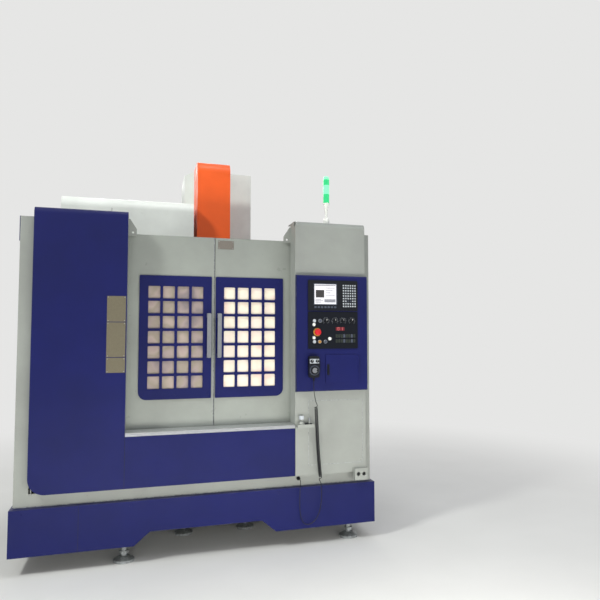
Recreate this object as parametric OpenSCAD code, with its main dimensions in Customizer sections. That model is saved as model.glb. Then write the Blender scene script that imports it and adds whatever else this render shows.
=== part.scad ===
// Vertical machining center: fixed column, cross table under a vertical head, drum magazine with a
// change arm, and a full sheet-metal enclosure. Millimetres, +Z up, +X to the operator's right, front faces -Y.
// The origin is on the floor under the middle of the machine.

/* [Base] */
// Width of the base skirt
base_w = 2250; // [2200:5:2350]
// Gap between the floor and the lower edge of the base skirt
foot_h = 110; // [90:5:130]
// Height of the base skirt
skirt_h = 268; // [240:4:290]
// Thickness of the base skirt sheet
skirt_t = 5; // [4:1:6]
// Height of the fork gap cut in the lower edge of the skirt
fork_gap_h = 78; // [60:2:90]
// Width of the fork gap at its top
fork_gap_w = 690; // [600:10:760]
// Width of the skirt's top flange
flange_w = 60; // [40:5:60]

/* [Enclosure] */
// Width of the enclosure body
encl_w = 2220; // [2200:2:2230]
// Height of the enclosure walls above the floor
encl_top = 2095; // [2080:5:2110]
// Thickness of the enclosure sheet
sheet = 4; // [3:0.5:5]
// Height of the two front towers above the floor
tower_top = 2150; // [2140:2:2170]
// Width of the tower on the magazine side
tower_w = 530; // [520:2:545]
// Width of the control tower
pillar_w = 497; // [490:1:505]
// Height of the lower edge of both towers above the floor
tower_foot = 455; // [440:5:475]
// Height of the door sill above the floor
sill_z = 786; // [776:2:800]
// How far the towers stand out in front of the frame
proud = 50; // [46:1:54]
// How far back the doors lie behind the towers' front faces
door_recess = 146; // [140:1:156]
// Radius of the rounded corners of the coloured panels
corner_r = 55; // [40:5:70]
// Height of the magazine hood's roof above the floor
hood_top = 2360; // [2340:5:2380]
// Width of the magazine hood
hood_w = 898; // [880:2:910]

/* [Doors] */
// Height of the door's top edge above the floor
door_top = 2031; // [2020:1:2034]
// Thickness of a door
door_t = 40; // [34:1:44]
// How far a door slides
door_travel = 455; // [420:5:455]
// Columns of window panes in one door
pane_cols = 4; // [3:1:4]
// Rows of window panes in one door
pane_rows = 7; // [5:1:7]
// Width of one window pane
pane_w = 74; // [64:1:78]
// Height of one window pane
pane_h = 80; // [70:1:86]
// Width of the bars between window panes
pane_bar = 17; // [13:1:20]
// Width of the coloured window frame
lattice_w = 458; // [450:2:462]
// Height of the coloured window frame
lattice_h = 799; // [780:1:810]
// Height of the window frame's lower edge above the floor
lattice_z = 969; // [950:1:985]
// Length of a door handle
handle_h = 291; // [240:1:320]
// Width of a door handle
handle_w = 26; // [22:1:30]

/* [Console] */
// Height of the operator console
console_h = 774; // [750:2:790]
// Height of the console's lower edge above the floor
console_z = 1006; // [990:2:1020]
// How far the console stands out of the control tower
console_t = 40; // [34:1:46]
// Width of the display unit and the operator panel
panel_w = 350; // [346:2:360]
// Height of the display unit
display_h = 204; // [190:2:206]
// Height of the operator panel
operator_h = 247; // [240:1:247]
// Radius of the emergency stop's mushroom head
stop_r = 22; // [18:1:24]
// Radius of a selector knob
knob_r = 15; // [12:1:17]

/* [Machine frame] */
// Width of the bed casting at its top
bed_w = 580; // [560:4:600]
// Height of the bed's top face above the floor
bed_top = 520; // [510:2:526]
// Length of the bed casting
bed_l = 1520; // [1500:10:1540]
// Width of the column
column_w = 520; // [500:4:530]
// Depth of the column at its foot
column_d = 480; // [460:5:490]
// Height of the column's top above the floor
column_top = 2250; // [2240:2:2270]
// Distance from the spindle axis to the column's front face
throat = 550; // [545:1:565]
// Wall thickness of the castings
casting_t = 40; // [30:2:46]
// Width of a linear guide rail
rail_w = 34; // [30:1:38]
// Height of a linear guide rail
rail_h = 34; // [30:1:36]
// Radius of the ball screws
screw_r = 16; // [14:1:18]

/* [Travels] */
// Half of the table's travel to each side
x_half = 400; // [350:10:400]
// Half of the saddle's travel to front and rear
y_half = 250; // [200:10:250]
// Travel of the head downwards
z_travel = 500; // [400:10:500]

/* [Table] */
// Length of the table
table_l = 1000; // [960:10:1040]
// Width of the table
table_d = 500; // [470:2:500]
// Height of the table's top face above the floor
table_top = 880; // [870:2:900]
// Width of a T-slot's throat
slot_w = 18; // [14:1:20]
// Distance between neighbouring T-slots
slot_pitch = 90; // [80:1:96]
// Number of T-slots
slot_count = 5; // [3:1:5]

/* [Head] */
// Distance from the middle of the door opening to the spindle axis
head_shift = 75; // [60:1:80]
// Height of the spindle nose above the floor with the head at its top
nose_z = 1500; // [1490:2:1520]
// Width of the head casting
head_w = 270; // [250:2:274]
// Radius of the spindle cartridge
cartridge_r = 75; // [65:1:80]
// Radius of the spindle
spindle_r = 44; // [38:1:46]
// Width of the motor cover
cover_w = 248; // [246:1:256]
// Top of the motor cover above the floor
cover_top = 2720; // [2680:5:2740]
// Width of the sheet guard behind the motor cover
guard_w = 550; // [530:2:560]

/* [Tool magazine] */
// Number of tool pots
pot_count = 20; // [16:1:20]
// Radius of the circle of pots
pot_circle_r = 265; // [255:1:275]
// Radius of one tool pot
pot_r = 34; // [28:1:36]
// Height of the drum's axis above the floor
drum_z = 1930; // [1915:1:1950]

/* [Hidden] */

// Colours of the finishes
blue = "#27307f";
white = "#d9dcd8";
orange = "#f4641e";
cast_grey = "#8d9490";
steel = "#b4b8bb";
black = "#1c1d1f";

// Clearance between pieces that slide or swing past each other
slip = 0.5;
// Running clearance of a shaft in its bore, on the radius
run_fit = 0.05;

// Planes from front to rear
y_face = -1050;
y_frame = y_face + proud;
y_console = y_face - console_t;
y_door = y_face + door_recess;
y_rear = 900;
y_skirt0 = y_face + 5;
y_skirt1 = y_rear + 5;

// Levels from the floor up
skirt_top = foot_h + skirt_h;
body_z = skirt_top + 6;
head_z0 = nose_z + 110;

// Places from left to right
x_side = encl_w / 2;
strip_left = 80;
strip_right = 48;
tower_x0 = -x_side + strip_left;
tower_x1 = tower_x0 + tower_w;
pillar_x1 = x_side - strip_right;
pillar_x0 = pillar_x1 - pillar_w;
opening_x = (tower_x1 + pillar_x0) / 2;
spindle_x = opening_x + head_shift;
spindle_y = -150;
column_y = spindle_y + throat;

module span(x, y, z) translate([x[0], y[0], z[0]]) cube([x[1] - x[0], y[1] - y[0], z[1] - z[0]]);
// Outline in X and Z, drawn out from y0 to y1
module along_y(y0, y1) translate([0, y1, 0]) rotate([90, 0, 0]) linear_extrude(y1 - y0) children();
// Outline in Y and Z, drawn out from x0 to x1
module along_x(x0, x1) translate([x0, 0, 0]) rotate([90, 0, 90]) linear_extrude(x1 - x0) children();
module rod_x(x0, x1, y, z, r) translate([x0, y, z]) rotate([0, 90, 0]) cylinder(h = x1 - x0, r = r, $fn = 48);
module rod_y(y0, y1, x, z, r) translate([x, y1, z]) rotate([90, 0, 0]) cylinder(h = y1 - y0, r = r, $fn = 48);
module rod_z(z0, z1, x, y, r) translate([x, y, z0]) cylinder(h = z1 - z0, r = r, $fn = 48);

// Rectangle whose four corners, from the lower left round to the upper left, have their own radii
module corner_rect(x0, x1, z0, z1, r) {
    places = [[x0, z0, 1, 1], [x1, z0, -1, 1], [x1, z1, -1, -1], [x0, z1, 1, -1]];
    difference() {
        translate([x0, z0]) square([x1 - x0, z1 - z0]);
        for (i = [0:3]) if (r[i] > 0) {
            p = places[i];
            difference() {
                translate([p[0] + (p[2] > 0 ? -1 : -r[i]), p[1] + (p[3] > 0 ? -1 : -r[i])]) square(r[i] + 1);
                translate([p[0] + p[2] * r[i], p[1] + p[3] * r[i]]) circle(r[i], $fn = 48);
            }
        }
    }
}

// Flat bar with rounded ends between two places in the plane
module link(a, b, r) hull() {
    translate(a) circle(r, $fn = 32);
    translate(b) circle(r, $fn = 32);
}

// ---------- floor and base ----------
module fork_gap() along_y(y_skirt0 - 1, y_skirt0 + skirt_t + 1) polygon([
    [-fork_gap_w / 2 - 95, foot_h - 1], [fork_gap_w / 2 + 95, foot_h - 1],
    [fork_gap_w / 2, foot_h + fork_gap_h], [-fork_gap_w / 2, foot_h + fork_gap_h]]);

module base_skirt() color(blue) {
    difference() {
        span([-base_w / 2, base_w / 2], [y_skirt0, y_skirt1], [foot_h, skirt_top]);
        span([-base_w / 2 + skirt_t, base_w / 2 - skirt_t], [y_skirt0 + skirt_t, y_skirt1 - skirt_t],
            [foot_h - 1, skirt_top - skirt_t]);
        span([-base_w / 2 + flange_w, base_w / 2 - flange_w], [y_skirt0 + flange_w, y_skirt1 - flange_w],
            [skirt_top - skirt_t - 1, skirt_top + 1]);
        // Notch in the flange round the rear of the bed
        span([bed_x0 - 3, bed_x1 + 3], [y_skirt1 - flange_w - 1, bed_y1 + 3], [skirt_top - skirt_t - 1, skirt_top + 1]);
        fork_gap();
    }
    // Fork channels that run back from the gap
    for (x = [bed_x0 + 60, bed_x1 - 60]) difference() {
        span([x - 60, x + 60], [y_skirt0 + skirt_t, bed_y0], [foot_h + fork_gap_h, channel_top]);
        span([x - 54, x + 54], [y_skirt0 + skirt_t - 1, bed_y0 + 1], [foot_h + fork_gap_h - 1, channel_top - 6]);
    }
}
channel_top = foot_h + fork_gap_h + 60;

bed_y1 = y_rear - 8;
bed_y0 = bed_y1 - bed_l;
bed_x0 = spindle_x - bed_w / 2;
bed_x1 = spindle_x + bed_w / 2;
bed_foot = foot_h + 10;
pad_r = 62;
pad_h = 34;
jack_r = 17;
skirt_feet = [[-495, y_skirt0 + 95], [965, y_skirt0 + 95], [-base_w / 2 + 85, 760], [base_w / 2 - 85, 760]];
bed_feet = [for (x = [bed_x0 + 75, bed_x1 - 75], y = [bed_y0 + 90, (bed_y0 + bed_y1) / 2, bed_y1 - 90]) [x, y]];

module levelling_foot(top) {
    rotate_extrude($fn = 48) polygon([[0, 0], [pad_r, 0], [pad_r, pad_h * 0.45], [pad_r * 0.45, pad_h], [0, pad_h]]);
    cylinder(h = top, r = jack_r, $fn = 32);
    translate([0, 0, pad_h + 14]) cylinder(h = 16, r = jack_r * 1.7, $fn = 6);
}
module levelling_feet() color(steel) {
    for (p = bed_feet) translate([p[0], p[1], 0]) levelling_foot(bed_foot);
    for (p = skirt_feet) translate([p[0], p[1], 0]) {
        levelling_foot(foot_h);
        // Bracket that carries the skirt's top flange
        difference() {
            span([-45, 45], [-45, 45], [foot_h, skirt_top - skirt_t]);
            span([-39, 39], [-39, 60], [foot_h + 8, skirt_top - skirt_t - 8]);
        }
        side = sign(p[0]);
        edge = side * (base_w / 2 - skirt_t) - p[0];
        if (p[1] > 0) span([min(side * 45, edge), max(side * 45, edge)], [-45, 45], [skirt_top - skirt_t - 30, skirt_top - skirt_t]);
        else span([-45, 45], [y_skirt0 + skirt_t - p[1], -45], [skirt_top - skirt_t - 30, skirt_top - skirt_t]);
    }
}

module coolant_tank() color(cast_grey) {
    difference() {
        span([tank_x0, tank_x1], [tank_y0, tank_y1], [tank_z0, tank_z1]);
        span([tank_x0 + 4, tank_x1 - 4], [tank_y0 + 4, tank_y1 - 4], [tank_z0 + 4, tank_z1 - 40]);
        // Filling mouth and pump flange opening in the lid
        span([tank_x0 + 60, tank_x0 + 260], [tank_y0 + 40, tank_y1 - 40], [tank_z1 - 41, tank_z1 + 1]);
        rod_z(tank_z1 - 41, tank_z1 + 1, pump_x, pump_y, 64);
    }
    for (x = [tank_x0 + 60, tank_x1 - 60], y = [tank_y0 + 45, tank_y1 - 45]) translate([x, y, 0]) {
        rod_x(-12, 12, 0, 30, 30);
        difference() {
            span([-22, 22], [-26, 26], [18, tank_z0]);
            span([-13, 13], [-27, 27], [17, tank_z0 - 8]);
            rod_x(-23, 23, 0, 30, 6.05);
        }
        rod_x(-24, 24, 0, 30, 6);
    }
}
tank_x1 = base_w / 2 - 55;
tank_x0 = tank_x1 - 740;
tank_y0 = y_skirt1 + 4;
tank_y1 = tank_y0 + 225;
tank_z0 = 70;
tank_z1 = 350;
pump_x = tank_x1 - 150;
pump_y = (tank_y0 + tank_y1) / 2;

module coolant_pump() color(blue) {
    rod_z(tank_z1 - 200, tank_z1, pump_x, pump_y, 55);
    rod_z(tank_z1, tank_z1 + 14, pump_x, pump_y, 88);
    rod_z(tank_z1 + 14, tank_z1 + 70, pump_x, pump_y, 60);
    rod_z(tank_z1 + 70, tank_z1 + 280, pump_x, pump_y, 70);
    for (a = [0:20:340]) translate([pump_x, pump_y, tank_z1 + 80]) rotate([0, 0, a])
        span([66, 78], [-2, 2], [0, 170]);
    rod_z(tank_z1 + 280, tank_z1 + 320, pump_x, pump_y, 76);
    // Delivery pipe into the rear panel
    rod_y(y_rear, pump_y, pump_x, tank_z1 + 45, 16);
}

// ---------- machine castings ----------
y_rail_x = bed_w / 2 - 52;
y_screw_z = bed_top - 42;
channel_w = 2 * screw_r + 100;
module bed() color(cast_grey) {
    difference() {
        span([bed_x0, bed_x1], [bed_y0, bed_y1], [bed_foot, bed_top]);
        // Channel for the Y screw
        span([spindle_x - channel_w / 2, spindle_x + channel_w / 2], [bed_y0 - 1, column_y - 12],
            [y_screw_z - 62, bed_top + 1]);
        // Hollow underside between the walls and the cross ribs
        for (i = [0:3]) span([bed_x0 + casting_t, bed_x1 - casting_t],
            [bed_y0 + casting_t + i * rib_pitch, bed_y0 + i * rib_pitch + rib_pitch - casting_t / 4],
            [bed_foot - 1, y_screw_z - 62 - casting_t]);
        // Pockets in the flanks
        for (s = [0, 1], i = [0:3]) translate([s ? bed_x1 : bed_x0, 0, 0])
            span([-14, 14], [bed_y0 + 60 + i * rib_pitch, bed_y0 + i * rib_pitch + rib_pitch - 30],
                [bed_foot + 40, skirt_top - 40]);
    }
    // Bosses over the levelling feet
    for (p = bed_feet) translate([p[0], p[1], bed_foot]) cylinder(h = y_screw_z - 62 - casting_t - bed_foot, r = 46, $fn = 48);
    // Rails on their machined pads
    for (s = [-1, 1]) translate([spindle_x + s * y_rail_x, 0, bed_top]) rail_y(bed_y0 + 14, column_y - 12);
    // End bearing of the Y screw
    difference() {
        span([spindle_x - channel_w / 2, spindle_x + channel_w / 2], [column_y - 60, column_y - 12],
            [y_screw_z - 62, bed_top - 4]);
        rod_y(column_y - 61, column_y - 11, spindle_x, y_screw_z, screw_r + run_fit);
    }
    difference() {
        span([spindle_x - channel_w / 2, spindle_x + channel_w / 2], [bed_y0, bed_y0 + 50],
            [y_screw_z - 62, bed_top - 4]);
        rod_y(bed_y0 - 1, bed_y0 + 51, spindle_x, y_screw_z, screw_r + run_fit);
    }
}
rib_pitch = (bed_l - casting_t) / 4;

// Profile rail with its waisted section, along Y, sitting on z = 0 and grown by g all round
module rail_section(g = 0) polygon([for (s = [1, -1]) for (q = s > 0 ? [0, 1, 2, 3, 4] : [4, 3, 2, 1, 0])
    [s * (g + rail_w * [0.5, 0.5, 0.38, 0.5, 0.5][q]), [-g, rail_h * 0.4, rail_h * 0.55, rail_h * 0.75, rail_h + g][q]]]);
module rail_y(y0, y1) along_y(y0, y1) rail_section();
// Carriage that runs on such a rail: its hollow keeps the slip clearance all round
block_side = 13;
block_top = rail_h + 10;
module block_section() difference() {
    translate([-rail_w / 2 - block_side, rail_h * 0.3])
        square([rail_w + 2 * block_side, block_top - rail_h * 0.3]);
    rail_section(slip);
    translate([-rail_w / 2 - slip, -1]) square([rail_w + 2 * slip, rail_h * 0.4 + 1]);
}
module block_x(x0, x1) along_x(x0, x1) block_section();
module block_y(y0, y1) along_y(y0, y1) block_section();
module block_z(z0, z1) translate([0, 0, z0]) linear_extrude(z1 - z0) mirror([0, 1]) block_section();

z_rail_x = column_w / 2 - 60;
z_screw_y = column_y + 16;
// The rails reach one clearance below the lowest place of the head's carriages
rail_z0 = head_z0 - 40 - z_travel - 110;
module rail_x(x0, x1) along_x(x0, x1) rail_section();
module rail_z(z0, z1) translate([0, 0, z0]) linear_extrude(z1 - z0) mirror([0, 1]) rail_section();
module column() color(cast_grey) {
    difference() {
        // Side outline: upright front, back that slopes in above the foot
        along_x(spindle_x - column_w / 2, spindle_x + column_w / 2) polygon([[column_y, bed_top],
            [column_y + column_d, bed_top], [column_y + column_d, 1150], [column_y + column_d - 90, column_top],
            [column_y, column_top]]);
        // Hollow inside
        span([spindle_x - column_w / 2 + casting_t, spindle_x + column_w / 2 - casting_t],
            [column_y + 150, column_y + column_d - 90 - casting_t], [bed_top + casting_t, column_top - casting_t]);
        // Channel for the Z screw
        span([spindle_x - channel_w / 2, spindle_x + channel_w / 2], [column_y - 1, column_y + 75],
            [rail_z0 + 20, column_top - 60]);
        rod_z(column_top - 61, column_top + 1, spindle_x, z_screw_y, screw_r + run_fit);
        // Lightening windows in the flanks
        for (z = [700, 1120, 1540]) for (x = [spindle_x - column_w / 2, spindle_x + column_w / 2])
            span([x - 16, x + 16], [column_y + 90, column_y + column_d - 150], [z, z + 300]);
    }
    for (s = [-1, 1]) translate([spindle_x + s * z_rail_x, column_y, 0]) rail_z(rail_z0, column_top - 10);
    // Bearings of the Z screw at the channel's two ends
    for (z = [rail_z0 + 20, column_top - 60 - 46]) difference() {
        span([spindle_x - channel_w / 2, spindle_x + channel_w / 2], [column_y + 2, column_y + 75], [z, z + 46]);
        rod_z(z - 1, z + 47, spindle_x, z_screw_y, screw_r + run_fit);
    }
}

// ---------- saddle, table and their screws ----------
saddle_z0 = bed_top + block_top;
saddle_t = 130;
saddle_z1 = saddle_z0 + saddle_t;
x_block = 85;
block_l = 150;
// The saddle's rails carry the table to both ends of its travel
saddle_half = x_half + x_block + block_l / 2;
x_rail_y = 150;
x_screw_z = saddle_z1 - 24;
// The saddle's carriages stay on the bed's rails at the front end of the travel
y_block = min(190, spindle_y - y_half - block_l / 2 - bed_y0 - 20);
saddle_depth = table_d + 60;
nut_r = screw_r + 18;
module saddle() color(cast_grey) {
    difference() {
        union() {
            span([spindle_x - saddle_half, spindle_x + saddle_half], [spindle_y - 205, spindle_y + 205],
                [saddle_z1 - 74, saddle_z1]);
            span([spindle_x - bed_w / 2 - 20, spindle_x + bed_w / 2 + 20], [spindle_y - saddle_depth / 2, spindle_y + saddle_depth / 2],
                [saddle_z0, saddle_z1 - 30]);
        }
        // Channel for the X screw
        span([spindle_x - saddle_half + 40, spindle_x + saddle_half - 40],
            [spindle_y - channel_w / 2, spindle_y + channel_w / 2], [saddle_z1 - 70, saddle_z1 + 1]);
        rod_x(spindle_x - saddle_half - 1, spindle_x + saddle_half + 1, spindle_y, x_screw_z, screw_r + run_fit);
        // Weight pockets under the middle
        for (sx = [-1, 1], sy = [-1, 1]) span([spindle_x + sx * 145 - 45, spindle_x + sx * 145 + 45],
            [spindle_y + sy * 140 - 90, spindle_y + sy * 140 + 90], [saddle_z0 - 1, saddle_z0 + 40]);
    }
    for (s = [-1, 1]) translate([0, spindle_y + s * x_rail_y, saddle_z1])
        rail_x(spindle_x - saddle_half + 6, spindle_x + saddle_half - 6);
    for (s = [-1, 1], t = [-1, 1]) translate([spindle_x + s * y_rail_x, 0, bed_top])
        block_y(spindle_y + t * y_block - block_l / 2, spindle_y + t * y_block + block_l / 2);
    // Nut of the Y screw
    difference() {
        union() {
            span([spindle_x - 28, spindle_x + 28], [spindle_y - 50, spindle_y + 50], [y_screw_z, saddle_z0]);
            rod_y(spindle_y - 50, spindle_y + 50, spindle_x, y_screw_z, nut_r);
        }
        rod_y(spindle_y - 51, spindle_y + 51, spindle_x, y_screw_z, screw_r + run_fit);
    }
    // Motor of the X axis
    servo_x(spindle_x + saddle_half, spindle_y, x_screw_z);
}
motor_half = 58;
module servo_body() {
    difference() {
        span([-motor_half, motor_half], [-motor_half, motor_half], [0, 14]);
        for (a = [45:90:315]) rotate([0, 0, a]) translate([motor_half * 1.22, 0, -1]) cylinder(h = 16, r = 5, $fn = 24);
    }
    translate([0, 0, 14]) linear_extrude(126) difference() {
        square(2 * motor_half - 12, center = true);
        for (a = [0:90:270]) rotate(a) translate([motor_half - 6, motor_half - 6]) circle(9, $fn = 24);
    }
    translate([0, 0, 140]) cylinder(h = 42, r = motor_half - 12, $fn = 48);
}
module servo_x(x, y, z) translate([x, y, z]) rotate([0, 90, 0]) servo_body();
module axis_motors() color(black) {
    translate([spindle_x, bed_y0, y_screw_z]) rotate([90, 0, 0]) servo_body();
    translate([spindle_x, z_screw_y, column_top]) {
        servo_body();
    }
}

table_z0 = saddle_z1 + block_top;
slot_head_w = slot_w * 1.75;
slot_head_h = slot_w * 0.75;
slot_depth = slot_w * 1.75;
module table() color(steel) {
    difference() {
        translate([0, spindle_y, 0]) along_x(spindle_x - table_l / 2, spindle_x + table_l / 2) difference() {
            polygon([[-table_d / 2, table_top], [-table_d / 2, table_top - 58], [-table_d / 2 + 36, table_top - 72],
                [-table_d / 2 + 36, table_z0], [table_d / 2 - 36, table_z0], [table_d / 2 - 36, table_top - 72],
                [table_d / 2, table_top - 58], [table_d / 2, table_top]]);
            for (i = [0:slot_count - 1]) translate([(i - (slot_count - 1) / 2) * slot_pitch, table_top]) {
                translate([-slot_w / 2, -slot_depth]) square([slot_w, slot_depth + 1]);
                translate([-slot_head_w / 2, -slot_depth]) square([slot_head_w, slot_head_h]);
            }
        }
        // Pockets between the underside ribs
        for (i = [-2:2]) for (s = [-1, 1]) span([spindle_x + i * 190 - 80, spindle_x + i * 190 + 80],
            [spindle_y + s * 75 - 30, spindle_y + s * 75 + 30], [table_z0 - 1, table_top - 62]);
    }
    for (s = [-1, 1], t = [-1, 1]) translate([0, spindle_y + s * x_rail_y, saddle_z1])
        block_x(spindle_x + t * x_block - block_l / 2 + 10, spindle_x + t * x_block + block_l / 2 - 10);
    // Nut of the X screw
    difference() {
        union() {
            span([spindle_x - 50, spindle_x + 50], [spindle_y - 28, spindle_y + 28], [x_screw_z, table_z0]);
            rod_x(spindle_x - 50, spindle_x + 50, spindle_y, x_screw_z, nut_r);
        }
        rod_x(spindle_x - 51, spindle_x + 51, spindle_y, x_screw_z, screw_r + run_fit);
    }
}
// Ball screw: ground core with its two bearing ends, along Z from 0
module ball_screw(l) rotate_extrude($fn = 48) polygon([[0, 0], [screw_r - 4, 0], [screw_r, 4], [screw_r, l - 4],
    [screw_r - 4, l], [0, l]]);
module x_screw() color(steel) translate([spindle_x - saddle_half - 6, spindle_y, x_screw_z]) rotate([0, 90, 0])
    ball_screw(2 * saddle_half + 6 - 0.3);
module y_screw() color(steel) translate([spindle_x, bed_y0 + 0.3, y_screw_z]) rotate([-90, 0, 0])
    ball_screw(column_y - 12 - bed_y0 - 4);
module z_screw() color(steel) translate([spindle_x, z_screw_y, rail_z0 + 22])
    ball_screw(column_top - 0.3 - rail_z0 - 22);

// ---------- head ----------
head_z1 = head_z0 + 500;
head_y0 = spindle_y - 112;
carriage_y1 = column_y - block_top;
carriage_t = 36;
carriage_w = column_w - 70;
spindle_bore = 420;
module head_casting() color(cast_grey) {
    difference() {
        union() {
            // Side outline of the arm, deep at the carriage and shallow at the spindle
            along_x(spindle_x - head_w / 2, spindle_x + head_w / 2) polygon([[head_y0, head_z0], [spindle_y + 130, head_z0],
                [carriage_y1 - carriage_t, head_z0 - 50], [carriage_y1 - carriage_t, head_z1 + 60],
                [column_y - 210, head_z1], [head_y0, head_z1]]);
            span([spindle_x - carriage_w / 2, spindle_x + carriage_w / 2], [carriage_y1 - carriage_t, carriage_y1],
                [head_z0 - 60, head_z1 + 90]);
            rod_z(nose_z + 38, head_z0, spindle_x, spindle_y, cartridge_r);
            rod_z(head_z0 - 26, head_z0, spindle_x, spindle_y, cartridge_r + 24);
        }
        rod_z(nose_z, head_z0 + spindle_bore, spindle_x, spindle_y, spindle_r + run_fit);
        // Core between the webs
        span([spindle_x - head_w / 2 + casting_t, spindle_x + head_w / 2 - casting_t],
            [spindle_y + 150, carriage_y1 - carriage_t - 40], [head_z0 + 60, head_z1 - 60]);
    }
    for (s = [-1, 1], z = [head_z0 - 40, head_z1 - block_l + 60]) translate([spindle_x + s * z_rail_x, column_y, 0])
        block_z(z, z + block_l);
    // Nut of the Z screw
    difference() {
        union() {
            span([spindle_x - 28, spindle_x + 28], [carriage_y1, z_screw_y], [head_z0 + 180, head_z0 + 280]);
            rod_z(head_z0 + 180, head_z0 + 280, spindle_x, z_screw_y, nut_r);
        }
        rod_z(head_z0 + 179, head_z0 + 281, spindle_x, z_screw_y, screw_r + run_fit);
    }
    // Coolant ring round the cartridge with its nozzles
    difference() {
        rod_z(nose_z + 46, nose_z + 72, spindle_x, spindle_y, cartridge_r + 16);
        rod_z(nose_z + 45, nose_z + 73, spindle_x, spindle_y, cartridge_r);
    }
    for (a = [45:90:315]) translate([spindle_x, spindle_y, nose_z + 46]) rotate([0, 0, a])
        translate([cartridge_r + 8, 0, -34]) cylinder(h = 34, r = 6, $fn = 24);
}
module spindle() color(steel) translate([spindle_x, spindle_y, nose_z]) rotate_extrude($fn = 64) polygon([
    [22, 0], [spindle_r + 18, 0], [spindle_r + 20, 2], [spindle_r + 20, 36], [spindle_r, 36],
    [spindle_r, 110 + spindle_bore - 4], [0, 110 + spindle_bore - 4], [0, 130], [8, 130], [8, 102], [22 * 0.56, 102]]);
motor_l = cover_top - head_z1 - 250;
module spindle_motor() color(black) translate([spindle_x, spindle_y, head_z1]) {
    span([-110, 110], [-110, 110], [0, 18]);
    translate([0, 0, 18]) linear_extrude(motor_l) difference() {
        square(212, center = true);
        for (a = [0:90:270], i = [-3:3]) rotate(a) translate([106, i * 26]) square([16, 12], center = true);
    }
    translate([0, 0, motor_l + 18]) cylinder(h = 90, r = 96, $fn = 64);
}
cover_y0 = head_y0 - 70;
cover_y1 = spindle_y + 122;
cover_r = 85;
module motor_cover() color(orange) {
    t = 3;
    difference() {
        along_x(spindle_x - cover_w / 2, spindle_x + cover_w / 2)
            corner_rect(cover_y0, cover_y1, head_z1, cover_top, [0, 0, 0, cover_r]);
        along_x(spindle_x - cover_w / 2 + t, spindle_x + cover_w / 2 - t)
            corner_rect(cover_y0 + t, cover_y1 - t, head_z1 + t, cover_top - t, [0, 0, 0, cover_r - t]);
        // Opening over the motor's flange
        span([spindle_x - 118, spindle_x + 118], [cover_y0 + 50, cover_y1 - t - 2], [head_z1 - 1, head_z1 + t + 1]);
        // Vent slots in both flanks
        for (i = [0:5]) span([spindle_x - cover_w / 2 - 1, spindle_x + cover_w / 2 + 1],
            [spindle_y - 80, spindle_y + 80], [head_z1 + 120 + i * 24, head_z1 + 130 + i * 24]);
    }
}
// Guard of the column's top: flat front, one slanted corner on the magazine side, and room for the Z motor
guard_x1 = spindle_x + 380;
guard_x0 = guard_x1 - guard_w;
guard_y0 = column_y - 195;
guard_rear = column_y + 330;
guard_top = cover_top + 55;
guard_z0 = head_z1 + 105;
guard_cut = [71, 164];
module guard_outline(g) {
    n = [guard_cut[1], guard_cut[0]] / norm(guard_cut);
    polygon([[guard_x0 + g, guard_rear - g], [guard_x0 + g, guard_y0 + guard_cut[1] + g * (1 - n[0]) / n[1]],
        [guard_x0 + guard_cut[0] + g * (1 - n[1]) / n[0], guard_y0 + g], [guard_x1 - g, guard_y0 + g],
        [guard_x1 - g, guard_rear - g]]);
}
module head_guard() color(white) {
    difference() {
        translate([0, 0, guard_z0]) linear_extrude(guard_top - guard_z0) guard_outline(0);
        translate([0, 0, guard_z0 - 1]) linear_extrude(guard_top - guard_z0 - 3) guard_outline(4);
        // Room for the column below the guard's seat on its top
        span([guard_x0 - 1, guard_x1 + 1], [column_y, guard_rear + 1], [guard_z0 - 1, column_top]);
        // Air slots in the rear wall
        for (i = [0:4]) span([spindle_x - 60, spindle_x + 240], [guard_rear - 5, guard_rear + 1],
            [guard_top - 180 + i * 26, guard_top - 168 + i * 26]);
    }
    // Floor of the part that stands out beside the column
    span([spindle_x + column_w / 2 - 20, guard_x1 - 1], [column_y, guard_rear - 1], [column_top, column_top + 4]);
}

// ---------- tool magazine ----------
arm_reach = 300;
arm_x = spindle_x - arm_reach;
arm_z = nose_z - 62;
arm_t = 40;
drum_x1 = arm_x - arm_reach + 30;
drum_shaft_r = 30;
beam_x0 = spindle_x - column_w / 2 - 118;
beam_z0 = head_z0 - 50;
beam_z1 = beam_z0 + 140;
module magazine_bracket() color(cast_grey) {
    difference() {
        union() {
            // Beam forward from the column's flank
            span([beam_x0, spindle_x - column_w / 2 - 18], [spindle_y + 80, column_y + 150], [beam_z0, beam_z1]);
            span([beam_x0, spindle_x - column_w / 2], [column_y + 10, column_y + 150], [beam_z0 - 60, beam_z1 + 60]);
            // Gearbox of the change arm
            span([beam_x0, arm_x + 78], [spindle_y - 80, spindle_y + 80], [beam_z0, beam_z1]);
            rod_z(beam_z0 - 30, beam_z0, arm_x, spindle_y, 62);
            // Plate that carries the drum
            span([beam_x0, beam_x0 + 26], [spindle_y - 80, spindle_y + 80], [beam_z1, drum_z]);
            rod_x(beam_x0, beam_x0 + 26, spindle_y, drum_z, 80);
            rod_x(beam_x0 - 40, beam_x0, spindle_y, drum_z, 56);
        }
        rod_z(beam_z0 - 31, beam_z1 - 20, arm_x, spindle_y, 26 + run_fit);
    }
    rod_x(drum_x1 - 30, beam_x0 - 40, spindle_y, drum_z, drum_shaft_r);
    translate([beam_x0 + 26, spindle_y, drum_z]) rotate([0, 90, 0]) {
        cylinder(h = 24, r = 62, $fn = 48);
        translate([0, 0, 24]) cylinder(h = 36, r = 40, $fn = 48);
    }
}
pot_l = 120;
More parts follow.
